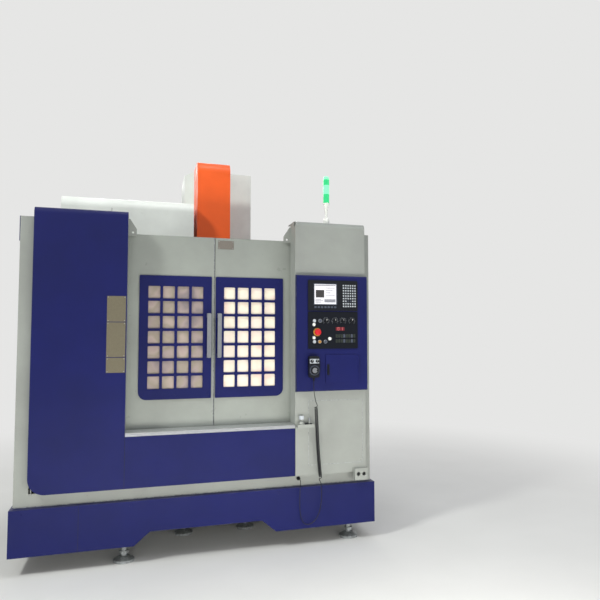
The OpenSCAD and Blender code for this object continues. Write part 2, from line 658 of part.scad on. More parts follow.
module magazine_drum() color(steel) difference() {
    union() {
        rod_x(drum_x1 - 12, drum_x1, spindle_y, drum_z, pot_circle_r + pot_r + 6);
        rod_x(drum_x1, drum_x1 + 30, spindle_y, drum_z, 70);
        rod_x(drum_x1 - 40, drum_x1 - 12, spindle_y, drum_z, 64);
        for (i = [0:pot_count - 1]) translate([0, spindle_y, drum_z]) rotate([i * 360 / pot_count, 0, 0]) {
            rod_x(drum_x1 - 12 - pot_l, drum_x1 - 6, 0, pot_circle_r, pot_r);
        }
    }
    for (i = [0:pot_count - 1]) translate([0, spindle_y, drum_z]) rotate([i * 360 / pot_count, 0, 0])
        translate([drum_x1 + 1, 0, pot_circle_r]) rotate([0, -90, 0]) cylinder(h = 96, r1 = 23, r2 = 12, $fn = 32);
    for (a = [30:60:330]) translate([drum_x1 - 13, spindle_y, drum_z]) rotate([a, 0, 0]) translate([0, 0, 145])
        rotate([0, 90, 0]) cylinder(h = 14, r = 48, $fn = 48);
    rod_x(drum_x1 - 41, drum_x1 + 31, spindle_y, drum_z, drum_shaft_r + run_fit);
}
module change_arm() color(steel) translate([arm_x, spindle_y, arm_z]) {
    cylinder(h = beam_z1 - 20 - 0.3 - arm_z, r = 26, $fn = 48);
    linear_extrude(arm_t) difference() {
        union() {
            circle(58, $fn = 64);
            for (a = [0, 180]) rotate(a) {
                link([0, 20], [0, arm_reach - 60], 30);
                translate([0, arm_reach - 20]) circle(44, $fn = 64);
            }
        }
        for (a = [0, 180]) rotate(a) {
            translate([0, arm_reach - 8]) circle(30, $fn = 48);
            translate([0, arm_reach - 34]) square([80, 52]);
            translate([-40, arm_reach + 8]) square([80, 60]);
        }
    }
}

// ---------- enclosure ----------
pan_t = body_z - skirt_top;
strip_z1 = encl_top;
cheek_y1 = y_rear;
module chip_pan() color(steel) difference() {
    span([-x_side + 3, x_side - 3], [y_frame + 3, y_rear - 3], [skirt_top, skirt_top + pan_t]);
    span([bed_x0 - slip, bed_x1 + slip], [bed_y0 - slip, bed_y1 + slip], [skirt_top - 1, body_z + 1]);
    // Drain slots over the coolant trough
    for (i = [0:7]) span([-900 + i * 60, -870 + i * 60], [420, 640], [skirt_top - 1, body_z + 1]);
}
// Side wall seen from above as a folded channel, with its front strip w wide and its rear lip
module side_wall(w, top) {
    difference() {
        span([-x_side, -x_side + w], [y_frame, y_rear], [body_z, top]);
        span([-x_side + sheet, -x_side + w + 1], [y_frame + sheet, y_rear - sheet], [body_z - 1, top - sheet]);
        span([-x_side + 40, -x_side + w + 1], [y_frame + sheet, y_rear + 1], [body_z - 1, top + 1]);
    }
    // Foot rail inside
    span([-x_side + sheet, -x_side + 34], [y_frame + 100, y_rear - 60], [body_z, body_z + 30]);
}
module left_side_panel() color(white) {
    side_wall(strip_left, strip_z1);
    // Service hatch standing out of the wall by its own thickness
    span([-x_side - 3, -x_side], [-420, 380], [body_z + 160, body_z + 860]);
    for (y = [-380, 340]) span([-x_side - 9, -x_side - 3], [y - 10, y + 10], [body_z + 480, body_z + 560]);
}
module right_side_panel() color(white) {
    mirror([1, 0, 0]) side_wall(strip_right + sheet, strip_z1 - 10);
    span([x_side, x_side + 3], [-420, 380], [body_z + 160, body_z + 860]);
    for (y = [-380, 340]) span([x_side + 3, x_side + 9], [y - 10, y + 10], [body_z + 480, body_z + 560]);
}
module rear_panel() color(white) difference() {
    union() {
        span([-x_side + 40, x_side - 40], [y_rear - sheet, y_rear], [body_z, strip_z1 - 12]);
        span([-x_side + 40, x_side - 40], [y_rear - 30, y_rear - sheet], [strip_z1 - 16, strip_z1 - 12]);
    }
    // Opening behind the column's upper half
    span([spindle_x - column_w / 2 + 30, spindle_x + column_w / 2 - 30], [y_rear - 31, y_rear + 1], [1990, strip_z1]);
}
lattice_t = 8;
jamb_y1 = y_door - lattice_t - 4;
inner_wall_y = y_door + door_t + 14;
module jamb(x, s) span([min(x, x - s * 56), max(x, x - s * 56)], [y_face + sheet, jamb_y1], [sill_z, tower_top - sheet]);
module front_frame() color(white) {
    x0 = -x_side + strip_left;
    x1 = pillar_x1 - sheet;
    // Folded sill: flange, floor, inner wall, ledge and lip
    along_x(x0, x1) {
        translate([y_frame, body_z]) square([sheet, tower_foot - body_z]);
        translate([y_frame, body_z]) square([inner_wall_y - y_frame + sheet, sheet]);
        translate([inner_wall_y, body_z]) square([sheet, sill_z - body_z]);
        translate([y_frame, sill_z - sheet]) square([inner_wall_y - y_frame + sheet, sheet]);
        translate([y_frame, sill_z - 60]) square([sheet, 60]);
        translate([y_frame + sheet, tower_foot - sheet]) square([40, sheet]);
    }
    // Ribs that tie the flange to the ledge
    for (x = [x0 + 10, tower_x1 - 30, (x0 + x1) / 2, pillar_x0 + 30, x1 - 14])
        span([x, x + sheet], [y_frame, inner_wall_y], [body_z, sill_z]);
    // Box jambs at both sides of the opening
    difference() {
        union() {
            jamb(tower_x1, 1);
            jamb(pillar_x0, -1);
        }
        for (x = [tower_x1 - 28, pillar_x0 + 28]) span([x - 24, x + 24], [y_face + 2 * sheet, jamb_y1 - sheet],
            [sill_z + sheet, tower_top - 2 * sheet]);
        // Room for the covers' rounded upper edge
        span([tower_x1 - 60, pillar_x0 + 60], [y_face, y_face + edge_r], [tower_top - edge_r, tower_top]);
    }
    // Slanted gussets over the doors' top corners
    for (s = [-1, 1]) translate([s < 0 ? tower_x1 : pillar_x0, 0, 0]) difference() {
        along_y(jamb_y1 - 6, jamb_y1) polygon([[0, door_top - 14], [-s * 50, door_top - 14], [-s * 50, door_top + 30],
            [-s * 8, tower_top - 24], [0, tower_top - 24]]);
        rod_y(jamb_y1 - 7, jamb_y1 + 1, -s * 27, door_top + 8, 7);
    }
}
edge_r = 35;
// Folded cover: front sheet, rounded upper edge and closed top running back to y1
module cover_profile(y1, g) corner_rect(y_face + g, y1 + (g > 0 ? 1 : 0), tower_foot + g, tower_top - g,
    [0, 0, 0, edge_r - g]);
module tower_cover() color(blue) {
    intersection() {
        difference() {
            along_x(tower_x0, tower_x1) cover_profile(inner_wall_y, 0);
            along_x(tower_x0 + sheet, tower_x1 + 1) cover_profile(inner_wall_y, sheet);
            // Only the top sheet runs back behind the frame
            span([tower_x0 - 1, tower_x1 + 1], [y_frame, inner_wall_y + 1], [tower_foot - 1, tower_top - sheet]);
        }
        along_y(y_face - 1, inner_wall_y + 1) corner_rect(tower_x0, tower_x1, tower_foot, tower_top, [2 * corner_r - 14, 0, 0, 0]);
    }
    // Tapered wing along the top of the side wall
    along_x(-x_side - sheet, -x_side) polygon([[y_frame, strip_z1], [y_frame, strip_z1 - 150],
        [y_frame + 120, strip_z1 - 140], [y_frame + 680, strip_z1 - 50], [y_frame + 680, strip_z1]]);
}
module lower_front_panel() color(blue) difference() {
    span([tower_x1, pillar_x0], [y_face, y_frame], [tower_foot, sill_z]);
    span([tower_x1 - 1, pillar_x0 + 1], [y_face + sheet, y_frame + 1], [tower_foot + sheet, sill_z - sheet]);
}
// Hood of the magazine: its front part reaches to the motor cover, its rear part stops beside the head's carriage
hood_x1 = spindle_x - cover_w / 2 - 38;
hood_x0 = hood_x1 - hood_w;
hood_mid = spindle_x - carriage_w / 2 - 20;
hood_y0 = spindle_y - 322;
hood_y1 = column_y - 12;
hood_step = carriage_y1 - carriage_t - 20;
hood_z0 = drum_z - pot_circle_r - pot_r - 90;
hood_r = 75;
module hood_form(x1, y1, g) along_x(hood_x0 + g, x1 - g) corner_rect(hood_y0 + g, y1 - g, hood_z0 - (g > 0 ? 1 : 0),
    hood_top - g, [0, 0, 0, hood_r - g]);
module magazine_hood() color(white) {
    difference() {
        union() {
            hood_form(hood_mid, hood_y1, 0);
            hood_form(hood_x1, hood_step, 0);
        }
        hood_form(hood_mid, hood_y1, sheet);
        hood_form(hood_x1, hood_step, sheet);
        // Clearance for the magazine's beam
        span([beam_x0 - 12, hood_x1 + 1], [spindle_y - 92, hood_y1 + 1], [hood_z0 - 1, beam_z1 + 12]);
    }
    // Deck to the side wall
    span([-x_side, hood_x0], [hood_y0, hood_y1], [strip_z1, strip_z1 + sheet]);
    span([-x_side, hood_x0], [hood_y0, hood_y0 + sheet], [strip_z1 + sheet, strip_z1 + 40]);
}
module control_pillar() color(white) difference() {
    along_x(pillar_x0, pillar_x1) cover_profile(inner_wall_y, 0);
    along_x(pillar_x0 + sheet, pillar_x1 - sheet) cover_profile(inner_wall_y, sheet);
    span([pillar_x0 + sheet, pillar_x1 + 1], [y_frame, inner_wall_y + 1], [tower_foot - 1, tower_top - sheet]);
    span([pillar_x0 - 1, pillar_x0 + sheet + 1], [y_frame, inner_wall_y + 1], [tower_foot - 1, sill_z]);
    span([pillar_x0 - 1, pillar_x0 + sheet + 1], [y_face + sheet, inner_wall_y + 1], [sill_z - 1, tower_top - sheet]);
}
rail_bar_y = y_door + door_t + slip;
module door_rail() color(steel) {
    span([-x_side + sheet, x_side - sheet], [rail_bar_y, rail_bar_y + 16], [door_top - 62, door_top - 22]);
    for (x = [-x_side + sheet, x_side - sheet - 12]) span([x, x + 12], [rail_bar_y, rail_bar_y + 60],
        [door_top - 110, door_top + 20]);
    // Stops for the doors' hooks at the ends of their travel
    for (x = [tower_x1 - door_lap + hook_in - door_travel - 14, pillar_x0 + door_lap - hook_in + door_travel + 2])
        span([x, x + 12], [rail_bar_y, rail_bar_y + 16], [door_top - 23, door_top - 6]);
}

// ---------- doors ----------
meet_x = opening_x + 15;
door_lap = 40;
hook_in = 60;
left_lattice_x0 = meet_x - 18 - lattice_w;
right_lattice_x0 = meet_x + 8;
pane_field_w = pane_cols * pane_w + (pane_cols - 1) * pane_bar;
pane_field_h = pane_rows * pane_h + (pane_rows - 1) * pane_bar;
pane_z0 = lattice_z + (lattice_h - pane_field_h) / 2;
glass_lap = 14;
module door_skin(x0, x1, lx) color(white) {
    gx = lx + (lattice_w - pane_field_w) / 2;
    difference() {
        span([x0, x1], [y_door, y_door + door_t], [sill_z + slip, door_top]);
        span([x0 + 3, x1 - 3], [y_door + 3, y_door + door_t + 1], [sill_z + slip + 3, door_top - 3]);
        // Window opening
        span([gx - 4, gx + pane_field_w + 4], [y_door - 1, y_door + 4], [pane_z0 - 4, pane_z0 + pane_field_h + 4]);
    }
    // Hook that runs over the guide bar
    span([x0 + hook_in, x1 - hook_in], [y_door + door_t, rail_bar_y + 16 + 8], [door_top - 14, door_top - 10]);
    span([x0 + hook_in, x1 - hook_in], [y_door + door_t - 3, y_door + door_t], [door_top - 14, door_top - 3]);
}
module lattice(lx) color(blue) {
    gx = lx + (lattice_w - pane_field_w) / 2;
    s = lx < 0 ? 1 : 0;
    along_y(y_door - lattice_t, y_door) difference() {
        corner_rect(lx, lx + lattice_w, lattice_z, lattice_z + lattice_h,
            [s * (corner_r - 10) + 6, (1 - s) * (corner_r - 10) + 6, 6, 6]);
        for (i = [0:pane_cols - 1], j = [0:pane_rows - 1])
            translate([gx + i * (pane_w + pane_bar), pane_z0 + j * (pane_h + pane_bar)])
                corner_rect(0, pane_w, 0, pane_h, [6, 6, 6, 6]);
    }
}
module window(lx) color("#efe3dc") {
    gx = lx + (lattice_w - pane_field_w) / 2;
    span([gx - glass_lap, gx + pane_field_w + glass_lap], [y_door + 3, y_door + 9],
        [pane_z0 - glass_lap, pane_z0 + pane_field_h + glass_lap]);
}
handle_z = lattice_z + lattice_h / 2 + 10;
module handle(x) color(steel) {
    y0 = y_door - lattice_t - 40;
    difference() {
        along_y(y0, y_door - lattice_t) corner_rect(x, x + handle_w, handle_z - handle_h / 2, handle_z + handle_h / 2,
            [8, 8, 8, 8]);
        span([x - 1, x + handle_w + 1], [y0 + 13, y_door - lattice_t + 1],
            [handle_z - handle_h / 2 + 26, handle_z + handle_h / 2 - 26]);
    }
}
module door_left() door_skin(tower_x1 - door_lap, meet_x - slip / 2, left_lattice_x0);
module door_left_lattice() lattice(left_lattice_x0);
module door_left_window() window(left_lattice_x0);
module door_left_handle() handle(left_lattice_x0 + lattice_w - handle_w - 6);
module door_right() door_skin(meet_x + slip / 2, pillar_x0 + door_lap, right_lattice_x0);
module door_right_lattice() lattice(right_lattice_x0);
module door_right_window() window(right_lattice_x0);
module door_right_handle() handle(right_lattice_x0 + 10);

// ---------- console ----------
panel_x0 = pillar_x0 + 76;
panel_x1 = panel_x0 + panel_w;
console_z1 = console_z + console_h;
display_z1 = console_z1 - 34;
display_z0 = display_z1 - display_h;
operator_z1 = display_z0 - 7;
operator_z0 = operator_z1 - operator_h;
bezel_t = 8;
plate_t = 6;
comp_x0 = panel_x0 + 122;
comp_z0 = console_z + 53;
comp_z1 = operator_z0 - 40;
stop_x = panel_x0 + 63;
stop_z = operator_z0 + 111;
knob_z = operator_z1 - 61;
knob_xs = [panel_x0 + 125, panel_x0 + 187, panel_x0 + 245, panel_x0 + 307];
start_x = panel_x0 + 148;
start_z = operator_z0 + 67;
shaft_r = 5;
knuckle_r = 4;
pin_r = 2;
comp_hinge_x = panel_x1 + 4.5;
comp_hinge_y = y_console - 4.5;
module console() color(blue) {
    difference() {
        along_x(pillar_x0, pillar_x1) corner_rect(y_console, y_face, console_z, console_z1, [12, 0, 0, 12]);
        span([pillar_x0 + sheet, pillar_x1 - sheet], [y_console + sheet, y_face + 1],
            [console_z + sheet, console_z1 - sheet]);
        // Holes behind the two push buttons
        rod_y(y_console - 1, y_console + sheet + 1, stop_x, stop_z, shaft_r + 5);
        rod_y(y_console - 1, y_console + sheet + 1, start_x, start_z, shaft_r + 4);
        // Mouth of the small compartment
        span([comp_x0 + 12, panel_x1 - 12], [y_console - 1, y_face], [comp_z0 + 12, comp_z1 - 12]);
    }
    // Middle knuckle and pin of the compartment's hinge
    rod_z(comp_z0 + 51, comp_z1 - 51, comp_hinge_x, comp_hinge_y, knuckle_r);
    span([comp_hinge_x - 3, comp_hinge_x + 3], [comp_hinge_y, y_console], [comp_z0 + 51, comp_z1 - 51]);
    rod_z(comp_z0 + 12, comp_z1 - 12, comp_hinge_x, comp_hinge_y, pin_r);
}
module display_unit() color(black) {
    along_y(y_console - bezel_t, y_console) difference() {
        corner_rect(panel_x0, panel_x1, display_z0, display_z1, [6, 6, 6, 6]);
        translate([panel_x0 + 43, display_z0 + 44]) square([154, 134]);
    }
    for (i = [0:5], j = [0:8]) translate([panel_x0 + 241 + i * 16.6, y_console - bezel_t - 3, display_z0 + 24 + j * 17.6])
        cube([13, 3, 13]);
}
module display_screen() color("#cfd6e6") span([panel_x0 + 43.3, panel_x0 + 196.7], [y_console - 5, y_console],
    [display_z0 + 44.3, display_z0 + 177.7]);
module operator_panel() color(black) {
    difference() {
        along_y(y_console - plate_t, y_console) corner_rect(panel_x0, panel_x1, operator_z0, operator_z1, [5, 5, 5, 5]);
        for (x = knob_xs) rod_y(y_console - plate_t - 1, y_console + 1, x, knob_z, shaft_r + run_fit);
        rod_y(y_console - plate_t - 1, y_console + 1, stop_x, stop_z, shaft_r + 4 + run_fit);
        rod_y(y_console - plate_t - 1, y_console + 1, start_x, start_z, shaft_r + 3 + run_fit);
    }
    // Window of the digit display, fixed buttons and the small keys
    span([panel_x0 + 192, panel_x0 + 255], [y_console - plate_t - 2, y_console - plate_t], [operator_z0 + 120, operator_z0 + 146]);
    for (p = [[43, knob_z], [83, knob_z], [40, operator_z0 + 161], [40, operator_z0 + 73], [43, operator_z0 + 47],
        [80, operator_z0 + 47], [120, operator_z0 + 47]])
        rod_y(y_console - plate_t - 7, y_console - plate_t, panel_x0 + p[0], p[1], 9);
    for (i = [0:7], j = [0:1]) translate([panel_x0 + 192 + i * 18, y_console - plate_t - 3, operator_z0 + 40 + j * 34])
        cube([13, 3, 22]);
}
module stop_button_shape() {
    translate([stop_x, y_console, stop_z]) rotate([90, 0, 0]) rotate_extrude($fn = 64) polygon([[0, 0],
        [shaft_r + 4, 0], [shaft_r + 4, plate_t + 12], [stop_r, plate_t + 14], [stop_r, plate_t + 21],
        [stop_r * 0.8, plate_t + 27], [stop_r * 0.4, plate_t + 30], [0, plate_t + 30]]);
}
module emergency_stop() color("#c8202a") stop_button_shape();
module start_button() color("#f2f4ee") translate([start_x, y_console, start_z]) rotate([90, 0, 0])
    rotate_extrude($fn = 48) polygon([[0, 0], [shaft_r + 3, 0], [shaft_r + 3, plate_t + 5], [11, plate_t + 5],
        [11, plate_t + 10], [9.5, plate_t + 12], [0, plate_t + 12]]);
module selector(x) color(black) translate([x, y_console, knob_z]) rotate([90, 0, 0]) {
    rotate_extrude($fn = 48) polygon([[0, 0], [shaft_r, 0], [shaft_r, plate_t + 0.3], [knob_r, plate_t + 0.3],
        [knob_r, plate_t + 7], [knob_r * 0.8, plate_t + 9], [0, plate_t + 9]]);
    translate([-3, -knob_r * 0.85, plate_t + 8]) cube([6, knob_r * 1.7, 9]);
}
module mode_knob() selector(knob_xs[0]);
module rapid_knob() selector(knob_xs[1]);
module speed_knob() selector(knob_xs[2]);
module feed_knob() selector(knob_xs[3]);
module compartment_door() color(blue) difference() {
    union() {
        along_y(y_console - plate_t, y_console - 0.3) corner_rect(comp_x0, panel_x1, comp_z0, comp_z1, [6, 6, 6, 6]);
        // Knuckles on the hinge's pin
        for (z = [comp_z0 + 10, comp_z1 - 50]) {
            rod_z(z, z + 40, comp_hinge_x, comp_hinge_y, knuckle_r);
            span([panel_x1 - 1, comp_hinge_x], [y_console - plate_t, y_console - plate_t + 2.5], [z, z + 40]);
        }
    }
    rod_z(comp_z0 + 9, comp_z1 - 9, comp_hinge_x, comp_hinge_y, pin_r + run_fit);
    // Recess of the latch
    along_y(y_console - plate_t - 1, y_console - 3) corner_rect(comp_x0 + 10, comp_x0 + 26, comp_z0 + 54,
        comp_z0 + 125, [4, 4, 4, 4]);
}

// ---------- hand pendant and its cord ----------
hook_t = 10;
pendant_t = 36;
wheel_t = 14;
pendant_w = 70;
pendant_h = 140;
pendant_x = pillar_x0 + 108;
pendant_z0 = console_z + 94;
pendant_y1 = y_console - hook_t;
pendant_y0 = pendant_y1 - pendant_t;
// Half of the whole depth: the rear cabinet stands out as far as the pendant's wheel
reach_y = -(pendant_y0 - wheel_t);
wheel_r = 27;
module pendant() color("#3a3d42") {
    difference() {
        along_y(pendant_y0, pendant_y1) corner_rect(pendant_x - pendant_w / 2, pendant_x + pendant_w / 2, pendant_z0,
            pendant_z0 + pendant_h, [14, 14, 10, 10]);
        rod_y(pendant_y0 - 1, pendant_y0 + 12, pendant_x, pendant_z0 + 48, shaft_r + run_fit);
    }
    // Two selector caps near the top
    for (s = [-1, 1]) rod_y(pendant_y0 - 9, pendant_y0, pendant_x + s * 18, pendant_z0 + 108, 10);
    // Grip bar on the flank
    span([pendant_x + pendant_w / 2, pendant_x + pendant_w / 2 + 6], [pendant_y0 + 8, pendant_y1 - 8],
        [pendant_z0 + 40, pendant_z0 + 110]);
    // Hook on the console that holds it
    span([pendant_x - 25, pendant_x + 25], [pendant_y1, y_console], [pendant_z0 + 50, pendant_z0 + 130]);
    // Strain relief of the cord
    translate([pendant_x, (pendant_y0 + pendant_y1) / 2, pendant_z0 - 22]) cylinder(h = 22, r1 = 5, r2 = 8, $fn = 32);
}
module pendant_wheel() color(black) translate([pendant_x, pendant_y0, pendant_z0 + 48]) rotate([90, 0, 0]) {
    difference() {
        rotate_extrude($fn = 64) polygon([[0, -11.5], [shaft_r, -11.5], [shaft_r, 0.3], [wheel_r - 2, 0.3],
            [wheel_r, 2.5], [wheel_r, wheel_t - 4], [wheel_r - 3, wheel_t - 2], [12, wheel_t - 3], [0, wheel_t - 3]]);
        for (a = [0:20:340]) rotate([0, 0, a]) translate([wheel_r + 1, 0, 1]) cylinder(h = wheel_t, r = 2, $fn = 16);
    }
    translate([wheel_r - 11, 0, wheel_t - 4]) cylinder(h = 4, r = 5.5, $fn = 32);
}

// Cord of the pendant: a straight tail, a curly stretch and a free loop to the gland
cord_r = 2.3;
coil_r = 12;
tail_route = [[673, -1118, 1078], [673, -1118, 1050], [675, -1117, 1010], [680, -1115, 980], [686, -1114, 950]];
coil_route = [[686, -1114, 950], [692, -1110, 860], [698, -1104, 760], [705, -1097, 660], [714, -1091, 560],
    [724, -1086, 470], [732, -1083, 400]];
loop_route = [[732, -1083, 400], [735, -1081, 350], [735, -1078, 290], [726, -1075, 230], [704, -1072, 178],
    [672, -1070, 148], [640, -1069, 142], [612, -1068, 160], [596, -1068, 205], [591, -1068, 260], [591, -1068, 320],
    [593, -1068, 370], [596, -1066, 405], [598, -1058, 424], [598, -1045, 428], [598, -1034, 428]];
function unit(v) = v / norm(v);
function pick(p, i) = p[min(max(i, 0), len(p) - 1)];
// Point at t between stops i and i + 1 of a smooth curve through all the stops
function blend_at(p, i, t) = let(a = pick(p, i - 1), b = p[i], c = pick(p, i + 1), d = pick(p, i + 2))
    0.5 * (2 * b + (c - a) * t + (2 * a - 5 * b + 4 * c - d) * t * t + (3 * b - a - 3 * c + d) * t * t * t);
function smooth(p, n) = concat([for (i = [0:len(p) - 2], k = [0:n - 1]) blend_at(p, i, k / n)], [p[len(p) - 1]]);
function heading(p, i) = unit(pick(p, i + 1) - pick(p, i - 1));
function across(p, i = 0, n = [1, 0.02, 0.01]) = i >= len(p) ? [] :
    let(t = heading(p, i), m = unit(n - (n * t) * t)) concat([m], across(p, i + 1, m));
module tube(route, n, r, k = 8) {
    p = smooth(route, n);
    s = across(p);
    last = (len(p) - 1) * k;
    polyhedron(
        points = [for (i = [0:len(p) - 1], j = [0:k - 1]) p[i] + r * (cos(j * 360 / k) * s[i]
            + sin(j * 360 / k) * cross(heading(p, i), s[i]))],
        faces = concat([[for (j = [k - 1:-1:0]) j]], [[for (j = [0:k - 1]) last + j]],
            [for (i = [0:len(p) - 2], j = [0:k - 1]) each [
                [i * k + j, i * k + (j + 1) % k, (i + 1) * k + (j + 1) % k],
                [i * k + j, (i + 1) * k + (j + 1) % k, (i + 1) * k + j]]]));
}
module pendant_coil() color(black) tube(coil_route, 4, coil_r, 12);
module pendant_lead() color(black) {
    tube(tail_route, 2, cord_r);
    tube(loop_route, 3, cord_r);
}
gland_x = 598;
gland_z = 428;
module lead_gland() color(black) translate([gland_x, y_frame, gland_z]) rotate([90, 0, 0]) {
    difference() {
        union() {
            cylinder(h = 12, r = 13, $fn = 6);
            translate([0, 0, 12]) cylinder(h = 22, r1 = 9, r2 = 5.5, $fn = 32);
        }
        translate([0, 0, -1]) cylinder(h = 4, r = 6, $fn = 32);
    }
}

// ---------- small fittings ----------
light_x = pillar_x0 + 238;
light_y = y_face + 60;
light_stem = 145;
light_lens = 190;
lens_r = 21;
module stack_light() color("#3fdc8c") translate([light_x, light_y, tower_top]) {
    rotate_extrude($fn = 64) polygon([[0, 0], [21, 0], [21, 26], [17, 36], [8, 44], [8, 66], [14, light_stem - 34],
        [15, light_stem - 12], [lens_r + 1, light_stem - 8], [lens_r + 1, light_stem], [lens_r, light_stem],
        [lens_r, light_stem + light_lens / 3 - 2], [lens_r - 1.5, light_stem + light_lens / 3],
        [lens_r, light_stem + light_lens / 3 + 2], [lens_r, light_stem + light_lens * 2 / 3 - 2],
        [lens_r - 1.5, light_stem + light_lens * 2 / 3], [lens_r, light_stem + light_lens * 2 / 3 + 2],
        [lens_r, light_stem + light_lens - 16], [lens_r * 0.8, light_stem + light_lens - 4],
        [lens_r * 0.5, light_stem + light_lens], [0, light_stem + light_lens]]);
}
gun_x = pillar_x0 + 60;
gun_z = sill_z - 14;
module air_gun() color(white) {
    // Shelf with its back plate
    span([gun_x - 56, gun_x + 56], [y_face - 52, y_face], [gun_z, gun_z + 4]);
    span([gun_x - 56, gun_x + 56], [y_face - 4, y_face], [gun_z + 4, gun_z + 34]);
    span([gun_x - 56, gun_x + 56], [y_face - 52, y_face - 48], [gun_z + 4, gun_z + 22]);
    // Regulator bowl, stem and knob
    translate([gun_x - 24, y_face - 26, gun_z + 4]) rotate_extrude($fn = 48) polygon([[0, 0], [19, 0], [19, 24],
        [14, 34], [6, 38], [6, 50], [15, 54], [15, 70], [12, 74], [0, 74]]);
    rod_x(gun_x - 10, gun_x + 44, y_face - 26, gun_z + 17, 8);
    translate([gun_x + 30, y_face - 26, gun_z + 17]) cylinder(h = 44, r = 6, $fn = 32);
}
module service_box() color(white) difference() {
    span([pillar_x1 - 92, pillar_x1 - 2], [y_face - 36, y_face], [tower_foot - 50, tower_foot + 27]);
    for (s = [-1, 1]) rod_y(y_face - 37, y_face - 12, pillar_x1 - 47 + s * 20, tower_foot - 10, 13);
}

// ---------- electric cabinet ----------
cab_x0 = -660;
cab_x1 = 200;
cab_z0 = 480;
cab_z1 = 1940;
switch_t = 12;
cab_door_t = 16;
cab_y1 = reach_y - switch_t - cab_door_t;
cab_knuckle_r = 7;
cab_pin_r = 3.5;
cab_hinge_x = cab_x0 - 8;
cab_hinge_y = cab_y1 + 8;
cab_hinge_zs = [cab_z0 + 120, (cab_z0 + cab_z1) / 2 - 40, cab_z1 - 200];
module electric_cabinet() color(white) {
    difference() {
        span([cab_x0, cab_x1], [y_rear, cab_y1 - 0.5], [cab_z0, cab_z1]);
        span([cab_x0 + 3, cab_x1 - 3], [y_rear + 3, cab_y1 - 4], [cab_z0 + 3, cab_z1 - 3]);
        span([cab_x0 + 28, cab_x1 - 28], [cab_y1 - 5, cab_y1 + 1], [cab_z0 + 28, cab_z1 - 28]);
    }
    // Fixed halves of the door's hinges with their pins
    for (z = cab_hinge_zs) {
        rod_z(z, z + 38, cab_hinge_x, cab_hinge_y, cab_knuckle_r);
        rod_z(z + 37, z + 78, cab_hinge_x, cab_hinge_y, cab_pin_r);
        span([cab_x0 - 5, cab_x0 + 1], [cab_y1 - 40, cab_y1 - 4], [z, z + 38]);
        span([cab_x0 - 5, cab_x0 - 1], [cab_y1 - 5, cab_hinge_y], [z, z + 38]);
    }
    // Mounting plate with its rows of switchgear
    span([cab_x0 + 40, cab_x1 - 40], [y_rear + 3, y_rear + 22], [cab_z0 + 50, cab_z1 - 50]);
    for (row = [0:3], i = [0:6]) span([cab_x0 + 70 + i * 102, cab_x0 + 150 + i * 102], [y_rear + 22, y_rear + 110],
        [cab_z0 + 120 + row * 330, cab_z0 + 290 + row * 330]);
    for (row = [0:3]) span([cab_x0 + 50, cab_x1 - 50], [y_rear + 22, y_rear + 72],
        [cab_z0 + 330 + row * 330, cab_z0 + 380 + row * 330]);
}
switch_x = cab_x1 - 110;
switch_z = cab_z1 - 260;
module cabinet_door() color(white) difference() {
    union() {
        difference() {
            span([cab_x0, cab_x1], [cab_y1, cab_y1 + cab_door_t], [cab_z0, cab_z1]);
            span([cab_x0 + 3, cab_x1 - 3], [cab_y1 - 1, cab_y1 + cab_door_t - 3], [cab_z0 + 3, cab_z1 - 3]);
        }
        // Boss behind the main switch
        rod_y(cab_y1, cab_y1 + cab_door_t - 3, switch_x, switch_z, 24);
        // Knuckles on the hinges' pins
        for (z = cab_hinge_zs) {
            rod_z(z + 40, z + 80, cab_hinge_x, cab_hinge_y, cab_knuckle_r);
            span([cab_hinge_x, cab_x0 + 1], [cab_hinge_y - 3, cab_hinge_y + 3], [z + 40, z + 80]);
        }
    }
    for (z = cab_hinge_zs) rod_z(z + 39, z + 81, cab_hinge_x, cab_hinge_y, cab_pin_r + run_fit);
    rod_y(cab_y1 - 1, cab_y1 + cab_door_t + 1, switch_x, switch_z, shaft_r + run_fit);
    for (i = [0:7]) span([(cab_x0 + cab_x1) / 2 - 130, (cab_x0 + cab_x1) / 2 + 130],
        [cab_y1 + cab_door_t - 4, cab_y1 + cab_door_t + 1], [cab_z0 + 120 + i * 18, cab_z0 + 127 + i * 18]);
}
module main_switch() color("#c8202a") translate([switch_x, cab_y1 + cab_door_t, switch_z]) rotate([-90, 0, 0]) {
    rotate_extrude($fn = 48) polygon([[0, -cab_door_t], [shaft_r, -cab_door_t], [shaft_r, 0.3], [30, 0.3], [30, 4],
        [28, 5], [0, 5]]);
    translate([-6, -24, 4]) cube([12, 48, switch_t - 4]);
}

base_skirt();
levelling_feet();
coolant_tank();
coolant_pump();
bed();
column();
chip_pan();
left_side_panel();
right_side_panel();
rear_panel();
front_frame();
tower_cover();
lower_front_panel();
magazine_hood();
control_pillar();
console();
display_unit();
display_screen();
operator_panel();
pendant();
pendant_coil();
pendant_lead();
lead_gland();
stack_light();
air_gun();
service_box();
electric_cabinet();
magazine_bracket();
axis_motors();
door_rail();
door_left();
door_left_lattice();
door_left_window();
door_left_handle();
door_right();
door_right_lattice();
door_right_window();
door_right_handle();
saddle();
table();
head_casting();
spindle_motor();
motor_cover();
head_guard();
spindle();
x_screw();
y_screw();
z_screw();
magazine_drum();
change_arm();
emergency_stop();
mode_knob();
rapid_knob();
speed_knob();
feed_knob();
start_button();
compartment_door();
cabinet_door();
main_switch();
pendant_wheel();
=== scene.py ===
"""Vertical machining center: finishes, fittings, cord, floor, light and camera over the CAD frame."""

import math

import bmesh
import bpy
from mathutils import Matrix, Vector


